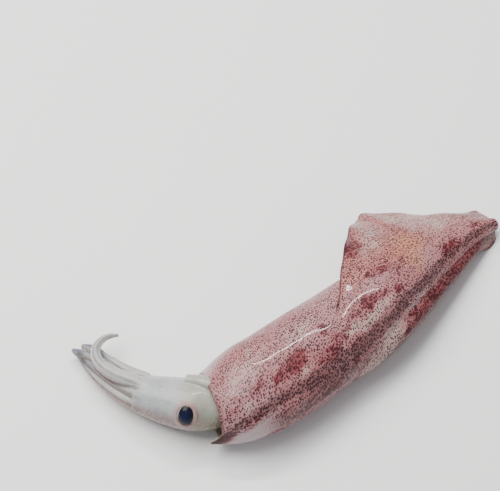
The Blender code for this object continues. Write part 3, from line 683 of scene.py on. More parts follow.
def fin_ring(station, width, side, thickness_share):
    """Closed outline of one lobe's section, with the share across and the place round the back of each point."""
    across = 1.0 - (1.0 - np.linspace(0.0, 1.0, FIN_COLUMNS)) ** 1.35
    distances = width * across
    path = fin_path(station, side, distances)
    ahead = heading_vector(smooth_table(MANTLE_HEADING, station))
    tangent = np.gradient(path, axis=0)
    tangent /= np.linalg.norm(tangent, axis=1)[:, None]
    normal = np.cross(tangent, ahead) * side
    normal /= np.linalg.norm(normal, axis=1)[:, None]
    half = 0.5 * (FIN_ROOT_THICKNESS + (FIN_EDGE_THICKNESS - FIN_ROOT_THICKNESS) * across ** 0.8) * thickness_share
    ripple = 0.0006 * across ** 2 * math.sin(station * 75.0 + side) * (1.0 if side > 0 else 0.3)
    ripple = ripple + 0.0004 * across ** 1.5 * np.sin(across * 7.0 + station * 31.0)
    relief = 0.5 * skin_relief(path) * smooth_step(path[:, 2], 0.0005, 0.006)
    path = path + normal * (ripple + relief)[:, None]
    embed = min(FIN_EMBED, FIN_EMBED_SHARE * float(smooth_table(MANTLE_HALF_WIDTH, station)))
    root = path[0] - (tangent[0] * 0.7 + normal[0] * 0.8) * embed
    thin = 0.4 * FIN_ROOT_THICKNESS * thickness_share
    edge = path[-1] + tangent[-1] * half[-1]
    upper = np.vstack([root + normal[0] * thin, path + normal * half[:, None]])
    lower = np.vstack([root - normal[0] * thin, path - normal * half[:, None]])
    ring = np.vstack([upper, edge[None], lower[::-1]])
    shares = np.concatenate([[0.0], across, [1.0], across[::-1], [0.0]])
    top = np.concatenate([np.ones(FIN_COLUMNS + 1), [0.5], np.zeros(FIN_COLUMNS + 1)])
    return ring, shares, top


def fin_mesh(side):
    """One lobe of the fin, thin and rippled, with the masks of its colours."""
    rows, across, top, along, widths = [], [], [], [], []
    for i in range(FIN_ROWS):
        share = 0.5 - 0.5 * math.cos(math.pi * (0.04 + 0.96 * i / (FIN_ROWS - 1)))
        share = (share - 0.5 + 0.5 * math.cos(math.pi * 0.04)) / (0.5 + 0.5 * math.cos(math.pi * 0.04))
        station = FIN_START + (FIN_END[side] - FIN_START) * share
        width = FIN_WIDTH * float(smooth_table(FIN_OUTLINE[side], share))
        ends = min(1.0, 0.25 + 25.0 * share, 0.25 + 40.0 * (1.0 - share))
        ring, shares, upper = fin_ring(station, width, side, ends)
        rows.append(ring)
        across.append(shares)
        top.append(upper)
        along.append(np.full(len(shares), share))
        widths.append(np.full(len(shares), width))
    across, top = np.concatenate(across), np.concatenate(top)
    along, widths = np.concatenate(along), np.concatenate(widths)
    rows = np.array(rows)
    rows[..., 2] = np.maximum(rows[..., 2], 0.0001)
    mesh = mesh_from_rows("fin", rows + SHIFT)
    out = across * widths
    station = FIN_START + (FIN_END[side] - FIN_START) * along
    root_back = -side * smooth_table(FIN_ROOT_ANGLE, along)
    body = skin_masks(station, root_back)
    leave = smooth_step(out, 0.0, 0.012)
    masks = {name: values * (1.0 - leave) for name, values in body.items()}
    if side > 0:
        streak = np.exp(-((along - 0.22 - 0.14 * across) / 0.09) ** 2) * smooth_step(across, 0.35, 0.9)
        tail = blotch((0.93, 0.6, 0.10, 0.6, 0.6), along, across)
        spread = blotch((0.30, 0.15, 0.16, 0.35, 0.55), along, across)
        red = np.maximum(np.maximum(streak * 0.6, tail), spread)
        masks["dark"] = np.maximum(masks["dark"], streak * 0.35)
        masks["tan"] = np.maximum(masks["tan"], blotch((0.52, 0.16, 0.12, 0.26, 0.9), along, across))
        masks["pale"] = np.maximum(masks["pale"], blotch((0.74, 0.55, 0.13, 0.6, 0.7), along, across))
        masks["pale"] = np.maximum(masks["pale"], blotch((0.44, 0.62, 0.12, 0.32, 0.6), along, across))
    else:
        strip = smooth_table(NEAR_FIN_RED_STRIP, along)
        half = smooth_table(NEAR_FIN_RED_HALF, along)
        red = np.exp(-((out - strip) / half) ** 2) * smooth_step(along, 0.02, 0.12) * 0.9
        masks["dark"] = np.maximum(masks["dark"], red * 0.5)
        masks["pale"] = np.maximum(masks["pale"], 1.0 - smooth_step(out, strip - 0.006, strip - 0.001)) * (1.0 - smooth_step(along, 0.2, 0.34))
    masks["crimson"] = np.maximum(masks["crimson"], red)
    masks["belly"] = np.maximum(masks["belly"], (1.0 - top) * 0.5)
    rim = smooth_step(out, widths - (0.0018 if side > 0 else 0.0008), widths - 0.0003) * 0.8
    front = (1.0 - smooth_step(along, 0.0, 0.012)) * smooth_step(out, 0.002, 0.006)
    masks["edge"] = np.maximum(rim, front * (0.9 if side > 0 else 0.1))
    masks["fin"] = smooth_step(out, 0.0, 0.010)
    blank = np.zeros(END_POINTS)
    for name, values in masks.items():
        add_mask(mesh, name, np.concatenate([values, blank]))
    add_mask(mesh, "wall", np.zeros(len(mesh.vertices)))
    add_sheet(mesh, station * MANTLE_LENGTH, out + (2.0 - top) * FIN_WIDTH * 2.0)
    return mesh


def head_mesh_rows():
    """Head rings from inside the rim to the rounded crown."""
    total = NECK_INSIDE + HEAD_LENGTH + CROWN_ROUNDING
    reach = -NECK_INSIDE + total * np.linspace(0.0, 0.999, HEAD_ROWS)
    degrees = np.linspace(0.0, 360.0, HEAD_COLUMNS, endpoint=False)
    reach, degrees = np.meshgrid(reach, degrees, indexing="ij")
    over = np.maximum(0.0, (reach - HEAD_LENGTH) / CROWN_ROUNDING)
    radius = head_radius(reach, degrees) * np.sqrt(1.0 - over * over)
    points = head_centre(reach) + head_direction(reach, degrees) * radius[..., None]
    points[..., 2] = np.maximum(points[..., 2], 0.0002)
    return points


def limb_mesh_rows(points, radii):
    """Rings of one limb, a little keeled."""
    ahead, side, up = frames_along(points)
    turn = np.linspace(0.0, 2.0 * math.pi, LIMB_COLUMNS, endpoint=False)
    share = np.linspace(0.0, 1.0, len(points))
    keel = 1.0 + 0.05 * np.cos(3.0 * turn[None] + 0.6) * np.sqrt(1.0 - share)[:, None]
    root = ROOT_START_SHARE + (1.0 - ROOT_START_SHARE) * smooth_step(share, 0.0, ROOT_SWELL_SHARE)
    reach = (radii * root)[:, None] * keel
    rows = points[:, None] + side[:, None] * (reach * np.cos(turn))[..., None] + up[:, None] * (reach * np.sin(turn))[..., None]
    rows[..., 2] = np.maximum(rows[..., 2], 0.0003)
    return rows


def funnel_mesh_rows():
    """The funnel: a soft tube under the head with a rounded lip and a hollow mouth."""
    belly = HEAD_ROLL + 180.0
    inner = np.linspace(0.0, 1.0, 24)
    reach = -FUNNEL_INSIDE + (FUNNEL_LENGTH + FUNNEL_INSIDE) * inner
    outside = FUNNEL_RADIUS + (FUNNEL_TIP_RADIUS - FUNNEL_RADIUS) * smooth_step(reach / FUNNEL_LENGTH)
    profile = list(zip(reach, outside))
    for turn in np.linspace(0.0, math.pi, 7)[1:]:
        profile.append((FUNNEL_LENGTH + 0.0005 * math.sin(turn), FUNNEL_TIP_RADIUS - 0.0005 * (1.0 - math.cos(turn))))
    for depth in np.linspace(0.0, 0.004, 6)[1:]:
        profile.append((FUNNEL_LENGTH - depth, FUNNEL_TIP_RADIUS - 0.0011))
    turn = np.linspace(0.0, 2.0 * math.pi, 48, endpoint=False)
    rows = []
    for reach, radius in profile:
        outward = head_direction(reach, belly)
        ahead = heading_vector(smooth_table(HEAD_HEADING, reach))
        across = np.cross(outward, ahead)
        centre = head_centre(reach) + outward * (head_radius(reach, belly) + FUNNEL_RADIUS * FUNNEL_RISE)
        rows.append(centre + across * (radius * np.cos(turn))[:, None]
                    + outward * (radius * FUNNEL_FLATNESS * np.sin(turn))[:, None])
    return np.array(rows)


def flesh_union(meshes, voxel, rounds):
    """One skin over several overlapping closed meshes, with its corners softened."""
    bm = bmesh.new()
    for mesh in meshes:
        bm.from_mesh(mesh)
    joined = bpy.data.meshes.new("head_and_limbs")
    bm.to_mesh(joined)
    bm.free()
    draft = bpy.data.objects.new("draft", joined)
    bpy.context.scene.collection.objects.link(draft)
    remesh = draft.modifiers.new("skin_over", "REMESH")
    remesh.mode = "VOXEL"
    remesh.voxel_size = voxel
    soften = draft.modifiers.new("soften", "SMOOTH")
    soften.factor = 0.5
    soften.iterations = rounds
    depsgraph = bpy.context.evaluated_depsgraph_get()
    made = bpy.data.meshes.new_from_object(draft.evaluated_get(depsgraph))
    made.name = "head_and_limbs"
    bpy.data.objects.remove(draft)
    return made


def nearest_limb(points, found):
    """For each point: distance to the skin of the nearest limb and of the next, its share, turn and number."""
    best = np.full(len(points), 1e9)
    second = np.full(len(points), 1e9)
    share = np.zeros(len(points))
    turn = np.zeros(len(points))
    number = np.zeros(len(points), int)
    for n, (name, path, radii) in enumerate(found):
        ahead, side, up = frames_along(path)
        for start in range(0, len(points), 8000):
            part = points[start:start + 8000]
            gap = np.linalg.norm(part[:, None] - path[None], axis=2)
            i = gap.argmin(1)
            skin = gap[np.arange(len(part)), i] - radii[i]
            before = best[start:start + 8000]
            second[start:start + 8000] = np.minimum(second[start:start + 8000], np.maximum(skin, before))
            chosen = np.nonzero(skin < before)[0]
            away = part[chosen] - path[i[chosen]]
            best[start + chosen] = skin[chosen]
            share[start + chosen] = i[chosen] / (len(path) - 1)
            turn[start + chosen] = np.arctan2((away * up[i[chosen]]).sum(1), (away * side[i[chosen]]).sum(1))
            number[start + chosen] = n
    return best, second, share, turn, number


def head_mesh():
    """Head, funnel, arms and tentacles under one skin, with eyelids, lengthwise folds and colour masks, among them
    painted shade in the arm furrows and between the arms.
    """
    found = limbs()
    meshes = [mesh_from_rows("head", head_mesh_rows()), mesh_from_rows("funnel", funnel_mesh_rows())]
    meshes += [mesh_from_rows(name, limb_mesh_rows(path, radii)) for name, path, radii in found]
    mesh = flesh_union(meshes, 0.00046, 4)
    points, normals = mesh_points(mesh), mesh_normals(mesh)
    gap, next_gap, share, turn, number = nearest_limb(points, found)
    on_limb = 1.0 - smooth_step(gap, 0.0004, 0.0022)
    on_limb *= smooth_step(share, 0.02, 0.22)
    folds = np.cos(turn * 5.0 + number * 1.7) * 0.00020 + np.cos(turn * 9.0 + 2.0 + number) * 0.00009
    # These two masks also darken the colour in the grooves of the arms and between the arms: painted shade.
    furrow_shade = smooth_step(-np.cos(turn * 5.0 + number * 1.7) - 0.4 * np.cos(turn * 9.0 + 2.0 + number), 0.35, 1.1)
    crease = (1.0 - smooth_step(next_gap - np.minimum(gap, 0.0), 0.0001, 0.0011)) * smooth_step(share, 0.0, 0.12)
    relief = (folds - crease * 0.0005) * on_limb * smooth_step(points[:, 2], 0.0004, 0.002)
    wrinkles = skin_relief(points) * 0.7 + soft_noise(points, 0.0034, 11.3) * 0.00009 + soft_noise(points, 0.0015, 5.1) * 0.000015
    relief += wrinkles * (1.0 - 0.6 * on_limb) * smooth_step(points[:, 2], 0.0004, 0.003)
    lids, round_eye = np.zeros(len(points)), np.zeros(len(points))
    for side in (1, -1):
        local = (points - np.array(eye_matrix(side).to_translation()))
        turned = local @ np.array(eye_matrix(side).inverted().to_3x3()).T
        away = np.hypot(turned[:, 0], turned[:, 1])
        outer = smooth_step(turned[:, 2], -0.6, 0.2)
        lids += np.exp(-((away - 1.02) / 0.15) ** 2) * outer
        round_eye = np.maximum(round_eye, np.exp(-((away - 1.05) / 0.28) ** 2) * outer)
    points = points + normals * (relief + lids * 0.0007)[:, None]
    points[:, 2] = np.maximum(points[:, 2], 0.0002)
    move_points(mesh, points + SHIFT)
    face_outwards(mesh)
    start = mantle_centre(0.0)
    back_way = head_direction(0.015, HEAD_ROLL)
    facing_back = normals @ back_way
    from_rim = np.linalg.norm((points - start) * np.array([1.0, 1.0, 0.5]), axis=1)
    # Collar mask: an olive tint that also darkens the flesh as painted shade where the head goes under the rim.
    collar = 1.0 - smooth_step(from_rim, 0.011, 0.020)
    add_mask(mesh, "limb", on_limb)
    add_mask(mesh, "crease", crease * on_limb)
    add_mask(mesh, "furrow_shade", furrow_shade * on_limb)
    add_mask(mesh, "along", share * on_limb)
    add_mask(mesh, "blush", smooth_step(facing_back, -0.15, 0.5))
    add_mask(mesh, "yellow", smooth_step(-normals[:, 2], -0.35, 0.45) * on_limb * (1.0 - smooth_step(share, 0.3, 0.7)))
    add_mask(mesh, "collar", collar)
    add_mask(mesh, "eye_ring", round_eye)
    add_mask(mesh, "tip", on_limb * smooth_step(share, 0.62, 0.95) * (number != CURLED_ARM))
    return mesh


def eye_mesh(side):
    """An eyeball with a flattened lens face; the masks give the distance from its middle."""
    bm = bmesh.new()
    bmesh.ops.create_uvsphere(bm, u_segments=96, v_segments=64, radius=1.0)
    mesh = bpy.data.meshes.new("eye")
    bm.to_mesh(mesh)
    bm.free()
    points = mesh_points(mesh)
    away = np.hypot(points[:, 0], points[:, 1] * PUPIL_TALLNESS)
    front = points[:, 2] > 0.0
    matrix = eye_matrix(side)
    add_mask(mesh, "away", np.where(front, away, 1.0 + (1.0 - away)))
    add_mask(mesh, "around", np.arctan2(points[:, 1], points[:, 0]) / (2.0 * math.pi))
    turned = points @ np.array(matrix.to_3x3()).T + np.array(matrix.to_translation())
    move_points(mesh, turned + SHIFT)
    face_outwards(mesh)
    return mesh

# ---------------------------------------------------------------- shader groups

def new_group(name, inputs, outputs):
    """An empty shader node group with the given sockets; returns it with its two end nodes."""
    group = bpy.data.node_groups.new(name, "ShaderNodeTree")
    for label, kind, value in inputs:
        socket = group.interface.new_socket(label, in_out="INPUT", socket_type=kind)
        socket.default_value = value
    for label, kind in outputs:
        group.interface.new_socket(label, in_out="OUTPUT", socket_type=kind)
    return group, group.nodes.new("NodeGroupInput"), group.nodes.new("NodeGroupOutput")


class Wiring:
    """Short ways to add and join nodes in one tree."""

    def __init__(self, tree):
        self.tree = tree

    def node(self, kind, **settings):
        made = self.tree.nodes.new(kind)
        for key, value in settings.items():
            setattr(made, key, value)
        return made

    def join(self, source, target):
        self.tree.links.new(source, target)

    def feed(self, socket, value):
        if isinstance(value, bpy.types.NodeSocket):
            self.join(value, socket)
        else:
            socket.default_value = value

    def mask(self, name):
        return self.node("ShaderNodeAttribute", attribute_name=name).outputs["Fac"]

    def vector(self, name):
        return self.node("ShaderNodeAttribute", attribute_name=name).outputs["Vector"]

    def stretched(self, place, scale):
        mapping = self.node("ShaderNodeMapping")
        mapping.inputs["Scale"].default_value = scale
        self.join(place, mapping.inputs["Vector"])
        return mapping.outputs["Vector"]

    def maths(self, operation, a, b=0.0, clamp=False):
        made = self.node("ShaderNodeMath", operation=operation, use_clamp=clamp)
        self.feed(made.inputs[0], a)
        self.feed(made.inputs[1], b)
        return made.outputs[0]

    def ramp(self, value, low, high, to_low=0.0, to_high=1.0):
        made = self.node("ShaderNodeMapRange", interpolation_type="SMOOTHSTEP")
        for label, number in (("Value", value), ("From Min", low), ("From Max", high), ("To Min", to_low),
                              ("To Max", to_high)):
            self.feed(made.inputs[label], number)
        return made.outputs["Result"]

    def mix(self, share, first, second, blend="MIX"):
        made = self.node("ShaderNodeMix", data_type="RGBA", blend_type=blend)
        self.feed(made.inputs[0], share)
        self.feed(made.inputs[6], first)
        self.feed(made.inputs[7], second)
        return made.outputs[2]

    def place(self):
        return self.node("ShaderNodeTexCoord").outputs["Object"]

    def noise(self, place, size, detail=3.0, roughness=0.55):
        """Noise whose features are about the given size in metres."""
        made = self.node("ShaderNodeTexNoise")
        made.inputs["Scale"].default_value = 1.0 / size
        made.inputs["Detail"].default_value = detail
        made.inputs["Roughness"].default_value = roughness
        self.join(place, made.inputs["Vector"])
        return made.outputs["Fac"]

    def group(self, group, **values):
        made = self.node("ShaderNodeGroup", node_tree=group)
        for label, value in values.items():
            self.feed(made.inputs[label.replace("_", " ")], value)
        return made


def colour_spot_group(name, dimensions):
    """Round pigment spots of uneven size: cells per metre, radius in shares of a cell, and softness."""
    group, start, end = new_group(
        name,
        [("Place", "NodeSocketVector", (0.0, 0.0, 0.0)), ("Cells", "NodeSocketFloat", 1000.0),
         ("Radius", "NodeSocketFloat", 0.4), ("Unevenness", "NodeSocketFloat", 0.5),
         ("Softness", "NodeSocketFloat", 0.3)],
        [("Mask", "NodeSocketFloat")])
    w = Wiring(group)
    cells = w.node("ShaderNodeTexVoronoi", voronoi_dimensions=dimensions, feature="F1")
    cells.inputs["Randomness"].default_value = 0.85
    w.join(start.outputs["Place"], cells.inputs["Vector"])
    w.join(start.outputs["Cells"], cells.inputs["Scale"])
    random = w.node("ShaderNodeSeparateColor")
    w.join(cells.outputs["Color"], random.inputs[0])
    uneven = w.maths("MULTIPLY", w.maths("SUBTRACT", random.outputs[0], 0.5), start.outputs["Unevenness"])
    radius = w.maths("MULTIPLY", start.outputs["Radius"], w.maths("ADD", uneven, 1.0))
    inner = w.maths("MULTIPLY", radius, w.maths("SUBTRACT", 1.0, start.outputs["Softness"]))
    w.join(w.ramp(cells.outputs["Distance"], inner, radius, 1.0, 0.0), end.inputs["Mask"])
    return group


def broken_mask_group():
    """A soft mask broken up by patchy noise: feature size in metres and how far it is broken."""
    group, start, end = new_group(
        "broken_mask",
        [("Mask", "NodeSocketFloat", 0.0), ("Place", "NodeSocketVector", (0.0, 0.0, 0.0)),
         ("Size", "NodeSocketFloat", 0.01), ("Amount", "NodeSocketFloat", 0.8)],
        [("Mask", "NodeSocketFloat")])
    w = Wiring(group)
    push = 0.0
    for share in (1.0, 0.28):
        patches = w.node("ShaderNodeTexNoise")
        patches.inputs["Detail"].default_value = 3.0
        patches.inputs["Roughness"].default_value = 0.6
        w.join(start.outputs["Place"], patches.inputs["Vector"])
        w.join(w.maths("DIVIDE", 1.0 / share, start.outputs["Size"]), patches.inputs["Scale"])
        lift = w.maths("MULTIPLY", w.maths("SUBTRACT", patches.outputs["Fac"], 0.5), start.outputs["Amount"])
        push = w.maths("ADD", push, lift)
    w.join(w.ramp(w.maths("ADD", start.outputs["Mask"], push), 0.18, 0.80), end.inputs["Mask"])
    return group


def new_material(name):
    material = bpy.data.materials.new(name)
    material.use_nodes = True
    shader = material.node_tree.nodes["Principled BSDF"]
    return material, Wiring(material.node_tree), shader


def wet_flesh(shader, roughness, coat, coat_roughness, depth, radius):
    """Plain settings that wet flesh shares: gloss film, and light that goes a little way in."""
    shader.inputs["Roughness"].default_value = roughness
    shader.inputs["IOR"].default_value = 1.34
    shader.inputs["Specular IOR Level"].default_value = 0.3
    shader.inputs["Coat Weight"].default_value = coat
    shader.inputs["Coat Roughness"].default_value = coat_roughness
    shader.inputs["Coat IOR"].default_value = 1.34
    shader.inputs["Subsurface Weight"].default_value = depth
    shader.inputs["Subsurface Radius"].default_value = radius
    shader.inputs["Subsurface Scale"].default_value = 0.003


def skin_material(settings):
    """Thin speckled skin of the mantle and fins."""
    material, w, shader = new_material("wet_skin")
    spots, broken = colour_spot_group("skin_spots", "2D"), broken_mask_group()
    place, sheet = w.place(), w.vector("sheet")
    streaks = w.stretched(sheet, (0.55, 1.0, 1.0))
    dark = w.group(broken, Mask=w.mask("dark"), Place=streaks, Size=0.008, Amount=1.5).outputs[0]
    crimson = w.group(broken, Mask=w.mask("crimson"), Place=streaks, Size=0.009, Amount=1.35).outputs[0]
    tan = w.group(broken, Mask=w.mask("tan"), Place=sheet, Size=0.014, Amount=1.0).outputs[0]
    pale = w.group(broken, Mask=w.mask("pale"), Place=streaks, Size=0.012, Amount=1.2).outputs[0]
    fin, belly, edge, wall = w.mask("fin"), w.mask("belly"), w.mask("edge"), w.mask("wall")
    cloud = w.ramp(w.noise(place, 0.024, 4.0), 0.36, 0.64)
    fine_cloud = w.ramp(w.noise(sheet, 0.0026, 3.0, 0.65), 0.32, 0.70)

    flesh = w.mix(cloud, (*settings.flesh_pale, 1.0), (*settings.flesh_pink, 1.0))
    flesh = w.mix(w.maths("MULTIPLY", fin, 0.75), flesh, (*settings.fin_colour, 1.0))
    flesh = w.mix(w.maths("MULTIPLY", pale, 0.75), flesh, (*settings.flesh_lilac, 1.0))
    flesh = w.mix(w.maths("MULTIPLY", fine_cloud, 0.30), flesh, (*settings.flesh_deep, 1.0))
    flesh = w.mix(w.maths("MULTIPLY", tan, 0.58), flesh, (*settings.tan_colour, 1.0))
    flesh = w.mix(w.maths("MULTIPLY", belly, 0.85), flesh, (*settings.belly_colour, 1.0))
    flesh = w.mix(w.maths("MULTIPLY", crimson, 0.84), flesh, (*settings.crimson, 1.0))
    flesh = w.mix(w.maths("MULTIPLY", dark, 0.75), flesh, (*settings.band_colour, 1.0))

    busy = w.maths("ADD", w.maths("MULTIPLY", dark, 0.12), w.maths("MULTIPLY", crimson, 0.16))
    busy = w.maths("ADD", busy, w.maths("MULTIPLY", fin, 0.04))
    busy = w.maths("SUBTRACT", busy, w.maths("MULTIPLY", pale, 0.04))
    patchy = w.maths("MULTIPLY", w.maths("SUBTRACT", w.noise(place, 0.010, 3.0), 0.5), 0.26)
    reach = w.maths("ADD", w.maths("ADD", settings.spot_radius, busy), patchy)
    big = w.group(spots, Place=sheet, Cells=1.0 / settings.spot_spacing, Radius=reach, Unevenness=0.8,
                  Softness=0.30).outputs[0]
    small = w.group(spots, Place=sheet, Cells=1.0 / (settings.spot_spacing * 0.61),
                    Radius=w.maths("MULTIPLY", reach, 0.9), Unevenness=1.3, Softness=0.6).outputs[0]
    few = w.maths("SUBTRACT", 1.0, belly)
    ink = w.mix(crimson, (*settings.spot_colour, 1.0), (*settings.spot_red, 1.0))
    coloured = w.mix(w.maths("MULTIPLY", w.maths("MULTIPLY", small, 0.62), few), flesh, (*settings.spot_brown, 1.0))
    coloured = w.mix(w.maths("MULTIPLY", w.maths("MULTIPLY", big, 0.96), few), coloured, ink)
    coloured = w.mix(w.maths("MULTIPLY", edge, 0.92), coloured, (*settings.edge_colour, 1.0))
    # Inside of the tube: dull olive, partly painted shade inside the rim.
    coloured = w.mix(wall, coloured, (*settings.inside_tint_and_shade, 1.0))
    w.join(coloured, shader.inputs["Base Color"])

    wet_flesh(shader, 0.42, 0.42, 0.05, 0.08, (1.0, 0.45, 0.35))
    film = w.noise(place, 0.006, 3.0)
    w.join(w.ramp(film, 0.3, 0.7, 0.36, 0.56), shader.inputs["Roughness"])
    bump = w.node("ShaderNodeBump")
    bump.inputs["Strength"].default_value = 0.35
    bump.inputs["Distance"].default_value = 0.0004
    grain = w.maths("ADD", w.maths("MULTIPLY", w.noise(place, 0.0016, 3.0), 0.6), w.maths("MULTIPLY", big, 0.25))
    w.join(grain, bump.inputs["Height"])
    w.join(bump.outputs["Normal"], shader.inputs["Normal"])
    return material


def flesh_material(settings):
    """Milky, half clear flesh of the head, funnel and arms."""
    material, w, shader = new_material("milky_flesh")
    spots = colour_spot_group("flesh_spots", "3D")
    place = w.place()
    limb, blush, yellow, crease = w.mask("limb"), w.mask("blush"), w.mask("yellow"), w.mask("crease")
    cloud = w.ramp(w.noise(place, 0.011, 4.0), 0.34, 0.68)
    veins = w.ramp(w.noise(place, 0.0028, 4.0, 0.7), 0.42, 0.62)
    flesh = w.mix(cloud, (*settings.milky_light, 1.0), (*settings.milky_deep, 1.0))
    flesh = w.mix(w.maths("MULTIPLY", veins, 0.48), flesh, (*settings.milky_clear, 1.0))
    flesh = w.mix(w.maths("MULTIPLY", limb, 0.30), flesh, (*settings.arm_colour, 1.0))
    flesh = w.mix(w.maths("MULTIPLY", yellow, 0.75), flesh, (*settings.arm_yellow, 1.0))
    # Painted shade in the lengthwise furrows of the arms.
    flesh = w.mix(w.maths("MULTIPLY", w.mask("furrow_shade"), 0.60), flesh, (*settings.painted_crease_shade, 1.0))
    flesh = w.mix(w.maths("MULTIPLY", blush, 0.72), flesh, (*settings.blush_colour, 1.0))
    flesh = w.mix(w.maths("MULTIPLY", w.mask("tip"), 0.9), flesh, (*settings.tip_colour, 1.0))
    # Olive tint next to the rim, partly painted shade where the head goes under the mantle.
    flesh = w.mix(w.maths("MULTIPLY", w.mask("collar"), 0.55), flesh, (*settings.collar_tint_and_shade, 1.0))
    ring_noise = w.ramp(w.noise(place, 0.0022, 4.0), 0.35, 0.7)
    ring = w.maths("MULTIPLY", w.mask("eye_ring"), w.maths("ADD", w.maths("MULTIPLY", ring_noise, 0.5), 0.5))
    flesh = w.mix(ring, flesh, (*settings.eye_skin, 1.0))
    # Painted shade in the creases between the arms.
    flesh = w.mix(w.maths("MULTIPLY", crease, 0.85), flesh, (*settings.painted_crease_shade, 1.0))
    few = w.maths("ADD", w.maths("MULTIPLY", blush, 0.75), w.maths("MULTIPLY", limb, 0.16))
    size = w.maths("ADD", 0.22, w.maths("MULTIPLY", blush, 0.20))
    dots = w.group(spots, Place=place, Cells=1.0 / (settings.spot_spacing * 0.7), Radius=size, Unevenness=1.0,
                   Softness=0.4).outputs[0]
    flesh = w.mix(w.maths("MULTIPLY", dots, w.maths("ADD", few, 0.10)), flesh, (*settings.spot_brown, 1.0))
    w.join(flesh, shader.inputs["Base Color"])
    wet_flesh(shader, 0.30, 0.6, 0.05, 0.26, (0.9, 0.75, 0.6))
    w.join(w.ramp(w.noise(place, 0.005, 3.0), 0.3, 0.7, 0.20, 0.42), shader.inputs["Roughness"])
    bump = w.node("ShaderNodeBump")
    bump.inputs["Strength"].default_value = 0.6
    bump.inputs["Distance"].default_value = 0.0006
    w.join(w.noise(place, 0.0026, 4.0), bump.inputs["Height"])
    w.join(bump.outputs["Normal"], shader.inputs["Normal"])
    return material


def eye_material(settings):
    """Glossy eye: dark lens in a pale ring with a dark outer edge."""
    material, w, shader = new_material("eye")
    place = w.place()
    away = w.mask("away")
    wobble = w.maths("MULTIPLY", w.maths("SUBTRACT", w.noise(place, 0.003, 2.0), 0.5), 0.10)
    away = w.maths("ADD", away, wobble)
    lens = w.mix(w.ramp(away, 0.0, settings.lens_share), (*settings.lens_colour, 1.0), (*settings.lens_edge, 1.0))
    ring = w.mix(w.ramp(w.noise(place, 0.0012, 4.0), 0.35, 0.65), (*settings.ring_pale, 1.0), (*settings.ring_pink, 1.0))
    colour = w.mix(w.ramp(away, settings.lens_share - 0.04, settings.lens_share + 0.03), lens, ring)
    colour = w.mix(w.ramp(away, 0.96, 1.05), colour, (*settings.ring_dark, 1.0))
    w.join(colour, shader.inputs["Base Color"])
    shader.inputs["Roughness"].default_value = 0.30
    shader.inputs["IOR"].default_value = 1.30
    shader.inputs["Specular IOR Level"].default_value = 0.15
    shader.inputs["Coat Weight"].default_value = 0.22
    shader.inputs["Coat Roughness"].default_value = 0.04
    return material


def sucker_material(settings):
    """Pale rubbery suckers."""
    material, w, shader = new_material("sucker")
    tone = w.ramp(w.noise(w.place(), 0.002, 3.0), 0.3, 0.7)
    w.join(w.mix(tone, (*settings.milky_light, 1.0), (*settings.arm_yellow, 1.0)), shader.inputs["Base Color"])
    wet_flesh(shader, 0.3, 0.8, 0.08, 0.3, (0.9, 0.75, 0.6))
    return material


# ---------------------------------------------------------------- suckers

